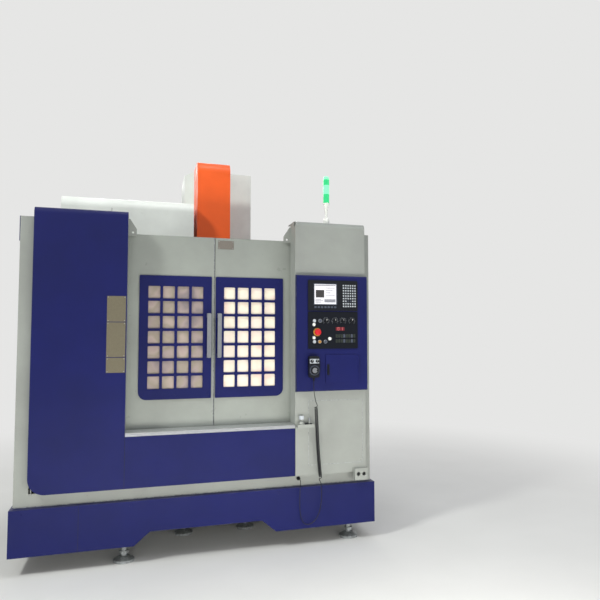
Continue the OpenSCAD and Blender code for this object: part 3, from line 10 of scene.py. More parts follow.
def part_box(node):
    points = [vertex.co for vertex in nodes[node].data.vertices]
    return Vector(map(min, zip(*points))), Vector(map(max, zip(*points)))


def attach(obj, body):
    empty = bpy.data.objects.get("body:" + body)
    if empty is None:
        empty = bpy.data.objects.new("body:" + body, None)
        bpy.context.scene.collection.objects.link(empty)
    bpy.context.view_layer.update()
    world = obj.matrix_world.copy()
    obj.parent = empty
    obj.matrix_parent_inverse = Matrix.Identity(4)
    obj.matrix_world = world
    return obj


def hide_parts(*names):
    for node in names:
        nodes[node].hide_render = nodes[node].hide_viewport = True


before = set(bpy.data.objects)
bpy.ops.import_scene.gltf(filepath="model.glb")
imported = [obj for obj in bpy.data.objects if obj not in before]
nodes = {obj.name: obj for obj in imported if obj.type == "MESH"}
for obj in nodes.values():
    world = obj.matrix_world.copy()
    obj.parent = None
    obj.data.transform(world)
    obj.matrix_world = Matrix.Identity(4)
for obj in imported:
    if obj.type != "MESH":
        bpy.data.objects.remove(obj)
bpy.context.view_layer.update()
MM = 0.001


def mm(*values):
    """Millimetres of the drawing to the scene's metres."""
    return Vector([v * MM for v in values])


# ---------- levels and places, in millimetres, as the machine's drawing has them ----------
def low(node):
    """The corner of a node's box with the least x, y and z, in millimetres."""
    return Vector(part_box(node)[0]) / MM


def high(node):
    """The corner of a node's box with the greatest x, y and z, in millimetres."""
    return Vector(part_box(node)[1]) / MM


FACE_Y = low("tower_cover").y  # front of the two towers
CONSOLE_Y = high("operator_panel").y  # the console's face, behind the knuckles of its small door
PLATE_Y = CONSOLE_Y - 6  # face of the operator panel and of the small door
BEZEL_Y = CONSOLE_Y - 8  # face of the display unit
DOOR_Y = low("door_left").y
LATTICE_Y = low("door_left_lattice").y
FLANGE_Y = low("left_side_panel").y
SKIRT_Y = low("base_skirt").y
HOOD_WIDTH = 898  # of the magazine hood's front, without the wing behind it
FRONT, RIGHT, UP = (0, -1, 0), (1, 0, 0), (0, 0, 1)  # ways that a fitting faces


# ---------- materials ----------
def linear(hex_code):
    """An sRGB hex colour as linear red, green, blue and alpha."""
    parts = [int(hex_code[i : i + 2], 16) / 255 for i in (1, 3, 5)]
    return [c / 12.92 if c <= 0.04045 else ((c + 0.055) / 1.055) ** 2.4 for c in parts] + [1.0]


def add(tree, kind, settings=None, **links):
    """One node of that kind. settings holds its properties, plain inputs and a ramp's (place, hex) stops, links its
    linked inputs."""
    node = tree.nodes.new(kind)
    for key, value in (settings or {}).items():
        if key == "stops":
            elements = node.color_ramp.elements
            while len(elements) < len(value):
                elements.new(0.5)
            for element, (at, code) in zip(elements, value):
                element.position = at
                element.color = linear(code)
        elif key in node.inputs:
            node.inputs[key].default_value = value
        else:
            setattr(node, key, value)
    for key, source in links.items():
        numbered = key[0] == "i" and key[1:].isdigit()
        target = node.inputs[int(key[1:]) if numbered else key.replace("_", " ")]
        tree.links.new(source, target)
    return node


def new_material(name):
    """An empty material and its node tree."""
    material = bpy.data.materials.new(name)
    material.use_nodes = True
    material.node_tree.nodes.clear()
    return material, material.node_tree


def finish_material(material, tree, shader):
    """Joins the shader to the material's output."""
    add(tree, "ShaderNodeOutputMaterial", Surface=shader.outputs[0])
    return material


def size_scale(feature_mm):
    """Texture scale at which one feature of a noise is that many millimetres across, on coordinates in metres."""
    return 1.0 / (feature_mm * MM)


def shade(code, factor):
    """The hex colour with each channel times factor."""
    return "#" + "".join("%02x" % max(0, min(255, round(int(code[i : i + 2], 16) * factor))) for i in (1, 3, 5))


def enamel_on_sheet(name, code, roughness, dust=0.06, gloss=0.45):
    """Powder enamel baked on folded sheet: smooth colour, fine orange peel, and shop dust in soft patches."""
    material, tree = new_material(name)
    place = add(tree, "ShaderNodeTexCoord").outputs["Object"]
    patches = add(tree, "ShaderNodeTexNoise", {"Scale": size_scale(420), "Detail": 5.0, "Roughness": 0.6}, Vector=place)
    stops = [(0.3, shade(code, 1 - dust)), (0.7, shade(code, 1 + dust * 0.6))]
    colour = add(tree, "ShaderNodeValToRGB", {"stops": stops}, Fac=patches.outputs["Fac"])
    smears = add(tree, "ShaderNodeTexNoise", {"Scale": size_scale(90), "Detail": 4.0}, Vector=place)
    rough = add(tree, "ShaderNodeMapRange", {"From Min": 0.3, "From Max": 0.7, "To Min": roughness * 0.8,
        "To Max": roughness * 1.3}, Value=smears.outputs["Fac"])
    # Orange peel is about 1.5 mm across; drawn at 4 mm so that it shows
    peel_noise = add(tree, "ShaderNodeTexNoise", {"Scale": size_scale(4), "Detail": 1.0}, Vector=place)
    bump = add(tree, "ShaderNodeBump", {"Strength": 0.25, "Distance": 0.00012}, Height=peel_noise.outputs["Fac"])
    shader = add(tree, "ShaderNodeBsdfPrincipled", {"IOR": 1.5, "Specular IOR Level": gloss},
        Base_Color=colour.outputs["Color"], Roughness=rough.outputs["Result"], Normal=bump.outputs["Normal"])
    return finish_material(material, tree, shader)


def paint_on_casting(name, code):
    """Machine paint sprayed on sanded cast iron: matt, with the casting's 6 mm ripple under it."""
    material, tree = new_material(name)
    place = add(tree, "ShaderNodeTexCoord").outputs["Object"]
    patches = add(tree, "ShaderNodeTexNoise", {"Scale": size_scale(150), "Detail": 6.0}, Vector=place)
    colour = add(tree, "ShaderNodeValToRGB", {"stops": [(0.3, shade(code, 0.9)), (0.7, shade(code, 1.05))]},
        Fac=patches.outputs["Fac"])
    ripple = add(tree, "ShaderNodeTexNoise", {"Scale": size_scale(6), "Detail": 3.0}, Vector=place)
    bump = add(tree, "ShaderNodeBump", {"Strength": 0.5, "Distance": 0.0006}, Height=ripple.outputs["Fac"])
    shader = add(tree, "ShaderNodeBsdfPrincipled", {"Roughness": 0.52}, Base_Color=colour.outputs["Color"],
        Normal=bump.outputs["Normal"])
    return finish_material(material, tree, shader)


def ground_steel(name, code, roughness=0.28, along=(1, 30, 30), line=0.2):
    """Ground or satin metal: fine parallel lines, drawn 1 mm apart across their run so that they show."""
    material, tree = new_material(name)
    place = add(tree, "ShaderNodeTexCoord").outputs["Object"]
    stretched = add(tree, "ShaderNodeMapping", {"Scale": along}, Vector=place)
    lines = add(tree, "ShaderNodeTexNoise", {"Scale": size_scale(30), "Detail": 3.0},
        Vector=stretched.outputs["Vector"])
    colour = add(tree, "ShaderNodeValToRGB", {"stops": [(0.25, shade(code, 0.86)), (0.75, shade(code, 1.06))]},
        Fac=lines.outputs["Fac"])
    rough = add(tree, "ShaderNodeMapRange", {"To Min": roughness * 0.7, "To Max": roughness * 1.4},
        Value=lines.outputs["Fac"])
    bump = add(tree, "ShaderNodeBump", {"Strength": line, "Distance": 0.0001}, Height=lines.outputs["Fac"])
    shader = add(tree, "ShaderNodeBsdfPrincipled", {"Metallic": 1.0}, Base_Color=colour.outputs["Color"],
        Roughness=rough.outputs["Result"], Normal=bump.outputs["Normal"])
    return finish_material(material, tree, shader)


def zinc_coated_steel(name, code):
    """Hot-dip zinc on sheet and jack screws: 12 mm crystal spangle, dull."""
    material, tree = new_material(name)
    place = add(tree, "ShaderNodeTexCoord").outputs["Object"]
    spangle = add(tree, "ShaderNodeTexVoronoi", {"Scale": size_scale(12)}, Vector=place)
    grey = add(tree, "ShaderNodeRGBToBW", Color=spangle.outputs["Color"])
    colour = add(tree, "ShaderNodeValToRGB", {"stops": [(0.2, shade(code, 0.86)), (0.8, shade(code, 1.06))]},
        Fac=grey.outputs["Val"])
    shader = add(tree, "ShaderNodeBsdfPrincipled", {"Metallic": 0.85, "Roughness": 0.46},
        Base_Color=colour.outputs["Color"])
    return finish_material(material, tree, shader)


def moulded_plastic(name, code, roughness=0.42, grain_mm=1.6, gloss=0.4):
    """Moulded or sheet plastic: an even colour under a fine grain."""
    material, tree = new_material(name)
    place = add(tree, "ShaderNodeTexCoord").outputs["Object"]
    grain = add(tree, "ShaderNodeTexNoise", {"Scale": size_scale(grain_mm), "Detail": 2.0}, Vector=place)
    colour = add(tree, "ShaderNodeValToRGB", {"stops": [(0.3, shade(code, 0.93)), (0.7, shade(code, 1.07))]},
        Fac=grain.outputs["Fac"])
    bump = add(tree, "ShaderNodeBump", {"Strength": 0.25, "Distance": 0.0001}, Height=grain.outputs["Fac"])
    shader = add(tree, "ShaderNodeBsdfPrincipled", {"Roughness": roughness, "IOR": 1.53, "Specular IOR Level": gloss},
        Base_Color=colour.outputs["Color"], Normal=bump.outputs["Normal"])
    return finish_material(material, tree, shader)


def frosted_polycarbonate(name, codes, glow):
    """Frosted window sheet with painted light: slow changes of tone, about one pane wide, and a faint emission of
    strength glow stand in for the lit chamber behind it.
    """
    material, tree = new_material(name)
    place = add(tree, "ShaderNodeTexCoord").outputs["Object"]
    painted_chamber_light = add(tree, "ShaderNodeTexNoise", {"Scale": size_scale(120), "Detail": 1.5}, Vector=place)
    stops = [(0.3 + 0.4 * k / (len(codes) - 1), code) for k, code in enumerate(codes)]
    colour = add(tree, "ShaderNodeValToRGB", {"stops": stops}, Fac=painted_chamber_light.outputs["Fac"])
    frost = add(tree, "ShaderNodeTexNoise", {"Scale": size_scale(2)}, Vector=place)
    bump = add(tree, "ShaderNodeBump", {"Strength": 0.3, "Distance": 0.0002}, Height=frost.outputs["Fac"])
    # Painted glow: the sheet emits its own tones, as light from the chamber behind it
    shader = add(tree, "ShaderNodeBsdfPrincipled", {"Roughness": 0.34, "IOR": 1.58, "Specular IOR Level": 0.3,
        "Emission Strength": glow}, Base_Color=colour.outputs["Color"], Normal=bump.outputs["Normal"],
        Emission_Color=colour.outputs["Color"])
    return finish_material(material, tree, shader)


def lit(name, code, strength, base="#101010"):
    """A lit surface, such as a lamp's lens or a display's segment, behind clear plastic."""
    material, tree = new_material(name)
    place = add(tree, "ShaderNodeTexCoord").outputs["Object"]
    glow = add(tree, "ShaderNodeTexNoise", {"Scale": size_scale(12)}, Vector=place)
    colour = add(tree, "ShaderNodeValToRGB", {"stops": [(0.3, shade(code, 0.92)), (0.7, code)]},
        Fac=glow.outputs["Fac"])
    shader = add(tree, "ShaderNodeBsdfPrincipled", {"Base Color": linear(base), "Roughness": 0.15,
        "Emission Strength": strength}, Emission_Color=colour.outputs["Color"])
    return finish_material(material, tree, shader)


def soft_rubber(name, code):
    """Extruded rubber or polyurethane: an even tone with a dull sheen and a faint 8 mm bloom."""
    material, tree = new_material(name)
    place = add(tree, "ShaderNodeTexCoord").outputs["Object"]
    bloom = add(tree, "ShaderNodeTexNoise", {"Scale": size_scale(8)}, Vector=place)
    colour = add(tree, "ShaderNodeValToRGB", {"stops": [(0.3, shade(code, 0.8)), (0.7, shade(code, 1.3))]},
        Fac=bloom.outputs["Fac"])
    shader = add(tree, "ShaderNodeBsdfPrincipled", {"Roughness": 0.45}, Base_Color=colour.outputs["Color"])
    return finish_material(material, tree, shader)


# Painted sheet and castings
NAVY = enamel_on_sheet("navy_powder_enamel", "#161b54", roughness=0.36, dust=0.08, gloss=0.25)  # deep, nearly matt
GREY_WHITE = enamel_on_sheet("grey_white_powder_enamel", "#989b97", roughness=0.36)  # cool grey, satin
HOOD_WHITE = enamel_on_sheet("white_powder_enamel", "#eff3ed", roughness=0.38)  # the brightest sheet, satin
DOOR_GREY = enamel_on_sheet("pale_grey_powder_enamel", "#959994", roughness=0.33)  # a shade under the pillar's grey
ORANGE = enamel_on_sheet("orange_powder_enamel", "#fb6424", roughness=0.4, dust=0.05)  # clean signal colour
CASTING = paint_on_casting("grey_paint_on_cast_iron", "#8d9490")  # dull green-grey with a cast ripple
MOTOR_BLACK = paint_on_casting("black_paint_on_aluminium", "#1d1f21")  # dull black with a cast ripple
# Bare metal
STEEL = ground_steel("ground_tool_steel", "#c3c6c8")  # bright, with lines along X
HANDLE_STEEL = ground_steel("satin_chromed_steel", "#b4b7bc", 0.34, along=(30, 30, 1), line=0.02)  # soft grey shine
SATIN_ALUMINIUM = ground_steel("satin_aluminium", "#e2e4e6", 0.4, along=(1, 30, 30), line=0.03)  # pale, wide shine
ZINC = zinc_coated_steel("zinc_coated_steel", "#aeb2b3")  # dull grey crystals
# Plastics
BLACK_ABS = moulded_plastic("black_moulded_abs", "#14161c", gloss=0.25)  # housings: black, faintly grained
PANEL_BLACK = moulded_plastic("black_polyester_overlay", "#10131b", roughness=0.35, grain_mm=2.5, gloss=0.2)  # flat
KEY_GREY = moulded_plastic("pale_grey_key_plastic", "#b9bfc6", roughness=0.4)  # pale key tops
KEY_DARK = moulded_plastic("slate_key_plastic", "#4a505e", roughness=0.4)  # slate keys and bezels
KEY_BLACK = moulded_plastic("green_black_key_plastic", "#2a302b", roughness=0.4)  # keys that hardly leave the panel
RED_ABS = moulded_plastic("red_moulded_abs", "#c91f28", roughness=0.3)  # stop and main switch, a little glossy
AMBER_ABS = moulded_plastic("amber_moulded_abs", "#b98538", roughness=0.35)  # dull yellow ring and button
WHITE_ABS = moulded_plastic("white_moulded_abs", "#eceee9", roughness=0.3)  # caps and the lamp's stem, a little glossy
COVER_PLATE = moulded_plastic("khaki_laminate_plate", "#6a6453", roughness=0.35, grain_mm=3)  # drab, dull
DOOR_PLATE = moulded_plastic("brown_laminate_plate", "#77716a", roughness=0.35, grain_mm=3)  # drab, dull
DARK_RUBBER_AND_GAP_SHADE = soft_rubber("black_nitrile_rubber_and_gap_shade", "#101113")  # black rubber parts, and the painted shade of sheet joints as dark lines
PALE_RUBBER_AND_GAP_SHADE = soft_rubber("grey_silicone_edge_and_gap_shade", "#8b8f92")  # grey rubber edges, and the painted shade of sheet joints as faint lines
CORD_JACKET = soft_rubber("black_polyurethane_jacket", "#17181a")  # dark with a dull sheen
# Windows and lit surfaces
PANE_LEFT_PAINTED_SHADE = frosted_polycarbonate("frosted_polycarbonate_left_painted_shade",
    ["#8a8081", "#a29390", "#9a9083", "#ad9e96", "#a79592"], 0.04)  # painted shade of a dim chamber behind the sheet, rosy grey patches, a faint painted glow
PANE_RIGHT_PAINTED_LIGHT = frosted_polycarbonate("frosted_polycarbonate_right_painted_light",
    ["#efd4c6", "#f0e0cf", "#f5ebd7", "#f1e2d3", "#f3e5d9"], 0.09)  # painted light of a lamp behind the sheet, creamy white, with a painted glow
SCREEN_GLOW = lit("lcd_panel_glow", "#f3f1f5", 1.3, base="#20242c")  # white page
SCREEN_DARK = lit("lcd_window_dark", "#4b4848", 0.7)  # dark window in the page
SCREEN_LINE = lit("lcd_line_grey", "#b3b4bd", 0.8)  # grey lines in the page
GREEN_LIGHT = lit("green_lens_lit", "#2fd482", 1.1, base="#0f5a36")  # strong green
PALE_LIGHT = lit("clear_lens_lit", "#8cf2b6", 1.0, base="#4fae80")  # washed-out green
LED_RED = lit("red_led_segment", "#ff8a84", 1.0)  # hot pink-red strokes
LED_WINDOW = lit("red_led_window", "#8e1a2c", 0.8)  # dull red round them


def dress(material, *names):
    """Gives the carried-over CAD nodes that material."""
    for name in names:
        node = nodes[name]
        node.data.materials.clear()
        node.data.materials.append(material)


dress(NAVY, "base_skirt", "tower_cover", "lower_front_panel", "console", "door_left_lattice", "door_right_lattice",
    "compartment_door", "coolant_pump")
dress(GREY_WHITE, "control_pillar", "left_side_panel", "right_side_panel", "rear_panel", "front_frame", "air_gun",
    "service_box", "electric_cabinet", "cabinet_door")
dress(HOOD_WHITE, "magazine_hood", "head_guard")
dress(DOOR_GREY, "door_left", "door_right")
dress(ORANGE, "motor_cover")
dress(CASTING, "bed", "column", "saddle", "head_casting", "magazine_bracket", "coolant_tank")
dress(MOTOR_BLACK, "axis_motors", "spindle_motor")
dress(STEEL, "table", "spindle", "x_screw", "y_screw", "z_screw", "magazine_drum", "change_arm", "door_rail")
dress(HANDLE_STEEL, "door_left_handle", "door_right_handle")
dress(ZINC, "levelling_feet", "chip_pan")
dress(BLACK_ABS, "display_unit", "pendant", "lead_gland", "mode_knob", "rapid_knob", "speed_knob", "feed_knob",
    "pendant_wheel")
dress(PANEL_BLACK, "operator_panel")
dress(PANE_LEFT_PAINTED_SHADE, "door_left_window")
dress(PANE_RIGHT_PAINTED_LIGHT, "door_right_window")
dress(SCREEN_GLOW, "display_screen")
dress(GREEN_LIGHT, "stack_light")
dress(RED_ABS, "emergency_stop", "main_switch")
dress(WHITE_ABS, "start_button")


def shade_flat(name):
    """Flat shading for a node of folded sheet, so that no shading runs across its folds."""
    mesh = nodes[name].data
    if "custom_normal" in mesh.attributes:
        mesh.attributes.remove(mesh.attributes["custom_normal"])
    mesh.polygons.foreach_set("use_smooth", [False] * len(mesh.polygons))
    mesh.update()


shade_flat("head_guard")
shade_flat("front_frame")


# ---------- making pieces ----------
def from_bmesh(name, form, material, body):
    """A new object of that form, with its material, riding on that body."""
    mesh = bpy.data.meshes.new(name)
    bmesh.ops.recalc_face_normals(form, faces=form.faces)
    form.to_mesh(mesh)
    form.free()
    mesh.update()
    mesh.materials.append(material)
    piece = bpy.data.objects.new(name, mesh)
    bpy.context.scene.collection.objects.link(piece)
    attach(piece, body)
    return piece


def add_block(form, corner_a, corner_b, bevel=0.0, segments=2):
    """A box between two corners in millimetres, with its edges rounded by bevel."""
    part = bmesh.new()
    bmesh.ops.create_cube(part, size=1.0)
    a, b = Vector(corner_a), Vector(corner_b)
    centre, extent = (a + b) / 2 * MM, (b - a) * MM
    for vertex in part.verts:
        vertex.co = centre + Vector(vertex.co[i] * abs(extent[i]) for i in range(3))
    if bevel:
        bmesh.ops.bevel(part, geom=part.edges[:], offset=bevel * MM, segments=segments, profile=0.5, affect="EDGES")
    merge(form, part)


def block_piece(name, corner_a, corner_b, material, body, slot_name, **rounding):
    """A piece that is one box."""
    form = bmesh.new()
    add_block(form, corner_a, corner_b, **rounding)
    from_bmesh(name, form, material, body)


def add_turned(form, outline, sides, centre, axis):
    """A turned body whose outline starts at centre and stands out along axis."""
    part = bmesh.new()
    spin_outline(part, outline, sides)
    turn = Vector(UP).rotation_difference(Vector(axis)).to_matrix().to_4x4()
    bmesh.ops.transform(part, matrix=Matrix.Translation(mm(*centre)) @ turn, verts=part.verts)
    merge(form, part)


def add_disc(form, centre, axis, radius, depth, sides=32, bevel=0.0):
    """A round button, cap or screw head standing depth out from centre along axis, its outer rim rounded."""
    steps = 3 if bevel else 0
    rim = [(radius - bevel * (1 - math.cos(math.pi / 2 * k / steps)), depth - bevel + bevel
        * math.sin(math.pi / 2 * k / steps)) for k in range(1, steps + 1)]
    add_turned(form, [(0, 0), (radius, 0), (radius, depth - bevel), *rim, (0, depth)], sides, centre, axis)


def disc_piece(name, centre, axis, radius, depth, material, body, slot_name, **rim):
    """A piece that is one disc."""
    form = bmesh.new()
    add_disc(form, centre, axis, radius, depth, **rim)
    from_bmesh(name, form, material, body)


def spin_outline(form, outline, sides):
    """Turns an outline of (radius, height) points in millimetres round Z."""
    rings = []
    for radius, height in outline:
        if radius < 1e-6:
            rings.append([form.verts.new((0, 0, height * MM))])
        else:
            rings.append([form.verts.new((radius * MM * math.cos(2 * math.pi * k / sides), radius * MM
                * math.sin(2 * math.pi * k / sides), height * MM)) for k in range(sides)])
    for one, two in zip(rings, rings[1:]):
        for k in range(sides):
            j = (k + 1) % sides
            corners = [one[k % len(one)], one[j % len(one)], two[j % len(two)], two[k % len(two)]]
            corners = list(dict.fromkeys(corners))
            if len(corners) > 2:
                form.faces.new(corners)


def merge(form, part):
    """Adds one bmesh to another."""
    holder = bpy.data.meshes.new("holder")
    part.to_mesh(holder)
    part.free()
    form.from_mesh(holder)
    bpy.data.meshes.remove(holder)


# ---------- camera ----------
CAMERA_AT = mm(-438, -4933, 1368)
CAMERA_YAW = math.radians(17.8)  # to the right of straight on
CAMERA_PITCH = math.radians(3.5)
CAMERA_ROLL = math.radians(-0.2)
camera_data = bpy.data.cameras.new("camera")
camera_data.lens = 36.0
camera_data.sensor_width = 36.0
camera_data.shift_x = -0.05
camera = bpy.data.objects.new("camera", camera_data)
bpy.context.scene.collection.objects.link(camera)
camera.matrix_world = (Matrix.Translation(CAMERA_AT) @ Matrix.Rotation(-CAMERA_YAW, 4, "Z")
    @ Matrix.Rotation(math.pi / 2 + CAMERA_PITCH, 4, "X") @ Matrix.Rotation(CAMERA_ROLL, 4, "Z"))
bpy.context.scene.camera = camera


# ---------- the pendant's cord ----------
# Routes in millimetres, as the drawing has them: a straight tail, the curly stretch's middle line and the free loop
TAIL_ROUTE = [(673, -1118, 1078), (673, -1118, 1050), (675, -1117, 1010), (680, -1115, 980), (686, -1114, 950)]
COIL_ROUTE = [(686, -1114, 950), (692, -1110, 860), (698, -1104, 760), (705, -1097, 660), (714, -1091, 560),
    (724, -1086, 470), (732, -1083, 400)]
LOOP_ROUTE = [(732, -1083, 400), (735, -1081, 350), (735, -1078, 290), (726, -1075, 230), (704, -1072, 178),
    (672, -1070, 148), (640, -1069, 142), (612, -1068, 160), (596, -1068, 205), (591, -1068, 260), (591, -1068, 320),
    (593, -1068, 370), (596, -1066, 405), (598, -1058, 424), (598, -1045, 428), (598, -1034, 428)]
CORD_DIAMETER = 4.6
CURL_RADIUS = 9.6  # of the cord's middle line in the curly stretch
CURL_PITCH = 6.4  # from turn to turn
POINTS_PER_TURN = 14
POINT_SPACING = 9.0  # where the cord isn't curly
CURL_LEAD = 34.0  # run over which the cord moves out to its curl


def through(route, t):
    """The point at t, from 0 to len(route) - 1, on a smooth curve through the route's points."""
    i = min(int(t), len(route) - 2)
    u = t - i
    a, b, c, d = (Vector(route[max(0, min(len(route) - 1, i + k))]) for k in (-1, 0, 1, 2))
    return 0.5 * (2 * b + (c - a) * u + (2 * a - 5 * b + 4 * c - d) * u * u + (3 * b - a - 3 * c + d) * u ** 3)


def even_points(route, spacing):
    """Points about that far apart along the smooth curve through the route."""
    fine = [through(route, k / 40) for k in range(40 * (len(route) - 1) + 1)]
    kept, run = [fine[0]], 0.0
    for one, two in zip(fine, fine[1:]):
        run += (two - one).length
        if run >= spacing:
            kept.append(two)
            run = 0.0
    if (kept[-1] - fine[-1]).length < spacing * 0.5:
        kept.pop()
    return kept + [fine[-1]]


def ease(t):
    """A smooth step from 0 at t = 0 to 1 at t = 1."""
    t = max(0.0, min(1.0, t))
    return t * t * (3 - 2 * t)


def curl_points():
    """The helix round the curly stretch's middle line. At each end the cord first moves out to its radius and then
    starts to wind, so that no bend is tighter than the curl itself."""
    spine = even_points(COIL_ROUTE, 4.0)
    reach = [0.0]
    for one, two in zip(spine, spine[1:]):
        reach.append(reach[-1] + (two - one).length)
    length, step, turn, s, j = reach[-1], CURL_PITCH / POINTS_PER_TURN, 0.0, 0.0, 0
    points = []
    while s <= length:
        while j < len(spine) - 2 and reach[j + 1] < s:
            j += 1
        middle = spine[j].lerp(spine[j + 1], (s - reach[j]) / (reach[j + 1] - reach[j]))
        along = (spine[j + 1] - spine[j]).normalized()
        side = Vector(RIGHT)
        side = (side - side.dot(along) * along).normalized()
        front = along.cross(side)
        from_end = min(s, length - s)
        radius = CURL_RADIUS * ease(from_end / CURL_LEAD)
        points.append(middle + radius * (math.cos(turn) * side + math.sin(turn) * front))
        winding = ease((from_end - CURL_LEAD * 0.8) / CURL_LEAD)
        advance = step * (1 + 6 * (1 - winding))  # longer steps where the cord hardly winds
        turn += 2 * math.pi * winding * advance / CURL_PITCH
        s += advance
    return points


def make_cord():
    """The pendant's one cord, from its strain relief to the gland."""
    line = (even_points(TAIL_ROUTE, POINT_SPACING)[:-1] + curl_points()[1:-1]
        + even_points(LOOP_ROUTE, POINT_SPACING)[1:])
    curve = bpy.data.curves.new("pendant_cord", "CURVE")
    curve.dimensions = "3D"
    curve.bevel_depth = CORD_DIAMETER / 2 * MM
    curve.bevel_resolution = 3
    curve.use_fill_caps = True
    spline = curve.splines.new("POLY")
    spline.points.add(len(line) - 1)
    for point, at in zip(spline.points, line):
        point.co = (*(at * MM), 1.0)
    curve.materials.append(CORD_JACKET)
    cord = bpy.data.objects.new("pendant_cord", curve)
    bpy.context.scene.collection.objects.link(cord)
    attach(cord, "frame")
    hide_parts("pendant_coil", "pendant_lead")


make_cord()


# ---------- enclosure fittings ----------
def screw_heads(name, places, facing, body, radius=5.0, height=2.4, material=HANDLE_STEEL):
    """Round, domed screw or rivet heads seated on a sheet."""
    form = bmesh.new()
    for place in places:
        add_disc(form, place, facing, radius, height, sides=20, bevel=1.2)
    from_bmesh(name, form, material, body)


def seam(name, corner_a, corner_b, material=DARK_RUBBER_AND_GAP_SHADE):
    """The joint of two sheets: a strip that stands about half a millimetre out of the face, its dark tone painted shade
    of the gap between the sheets.
    """
    block_piece(name, corner_a, corner_b, material, "frame", "cord_jacket", bevel=0.2, segments=1)


def riveted_plate(name, rivets_name, left, right, bottom, top, face_y, thick, inset, material, body):
    """A bare plate with a rivet in each corner."""
    block_piece(name, (left, face_y - thick, bottom), (right, face_y, top), material, body, "white_plastic", bevel=0.5)
    places = [(x, face_y - thick, z) for x in (left + 7, right - 7) for z in (bottom + inset, top - inset)]
    screw_heads(rivets_name, places, FRONT, body, radius=2.6, height=1.2)


def make_data_plates():
    """Three bare plates near the right edge of the tall blue cover."""
    right = high("tower_cover").x - 6
    for index, (bottom, top) in enumerate([(1464, 1621), (1249, 1460), (1154, 1245)], 1):
        riveted_plate(f"data_plate_{index}", f"data_plate_rivets_{index}", right - 109, right, bottom, top, FACE_Y,
            1.4, 7, COVER_PLATE, "frame")


def make_sheet_seams():
    """Joints and screws of the fixed sheets at the front."""
    pillar, right, cover_joint = low("control_pillar").x, high("control_pillar").x, low("lower_front_panel").x
    # The joints' strips are painted shade: dark and faint lines where the gaps between the sheets fall in shade
    seam("seam_blue_covers", (cover_joint - 1.2, FACE_Y - 0.6, 458), (cover_joint + 1.2, FACE_Y + 2, 784))
    seam("seam_blue_to_pillar", (pillar - 1.6, FACE_Y - 0.6, 458), (pillar + 1.0, FACE_Y + 2, 784))
    for side, x0, z0, x1, z1 in (("top", pillar + 92, 940, right - 22, 942.4),
            ("left", pillar + 90, 520, pillar + 92.2, 942.4), ("right", right - 24.2, 520, right - 22, 942.4),
            ("bottom", pillar + 90, 518, right - 22, 520.2)):
        seam(f"pillar_access_seam_{side}", (x0, FACE_Y - 0.5, z0), (x1, FACE_Y + 1, z1), material=PALE_RUBBER_AND_GAP_SHADE)
    for name, places in (
            ("pillar_access_screws", [(x, FACE_Y, z) for x in (pillar + 104, right - 36) for z in (536, 730, 926)]),
            ("flange_screws", [(x, FLANGE_Y, 420) for x in range(-960, 1041, 250)]),
            ("left_strip_screws", [(low("chip_pan").x + 41, FLANGE_Y, z) for z in (520, 1000, 1500, 2000)])):
        screw_heads(name, places, FRONT, "frame", material=GREY_WHITE)
    screw_heads("skirt_screws", [(x, SKIRT_Y, 350) for x in (-1060, -760, -460, 0, 460, 760, 1060)], FRONT, "frame",
        radius=7, material=NAVY)
    joint = low("base_skirt").x + 373
    seam("skirt_joint_left", (joint - 1, SKIRT_Y - 0.5, 114), (joint + 1, SKIRT_Y + 1, 376))


def make_hood_seam():
    """The joint of the magazine hood's two front sheets, and the screws under its rounded top."""
    a, b = low("magazine_hood"), high("magazine_hood")
    left = b.x - HOOD_WIDTH
    seam("hood_front_seam", (left + 330, a.y - 0.6, a.z + 6), (left + 332.4, a.y + 1, b.z - 78))
    screw_heads("hood_screws", [(left + 24 + i * 170, a.y, b.z - 98) for i in range(6)], FRONT, "frame", radius=6,
        material=HOOD_WHITE)


def make_sill_strip():
    """Satin aluminium wear strip on the door sill, with a nose over the blue panel's upper edge."""
    left, right, top = high("tower_cover").x + 1, low("control_pillar").x - 1, high("lower_front_panel").z
    form = bmesh.new()
    add_block(form, (left, FACE_Y - 2.4, top + 0.3), (right, DOOR_Y - 8, top + 2.4), bevel=0.8)
    add_block(form, (left, FACE_Y - 2.4, top - 20), (right, FACE_Y - 0.1, top + 2.4), bevel=0.8)
    from_bmesh("sill_strip", form, SATIN_ALUMINIUM, "frame")


def make_cover_screws():
    """Screws of the orange motor cover and of the column top's guard, in their sheets' own paint."""
    a, b = low("motor_cover"), high("motor_cover")
    front = [(x, a.y, z) for x in (a.x + 16, b.x - 16) for z in (a.z + 24, a.z + 250, b.z - 96)]
    screw_heads("motor_cover_screws", front, FRONT, "head_unit", radius=6, material=ORANGE)
    flank = [(b.x, a.y + 60 + i * 90, a.z + 26) for i in range(3)]
    screw_heads("motor_cover_flank_screws", flank, RIGHT, "head_unit", radius=6, material=ORANGE)
    a, b = low("head_guard"), high("head_guard")
    flank = [(b.x, a.y + 90 + i * 130, z) for i in range(4) for z in (b.z - 40, 2290)]
    screw_heads("guard_screws", flank, RIGHT, "frame", radius=6, material=HOOD_WHITE)


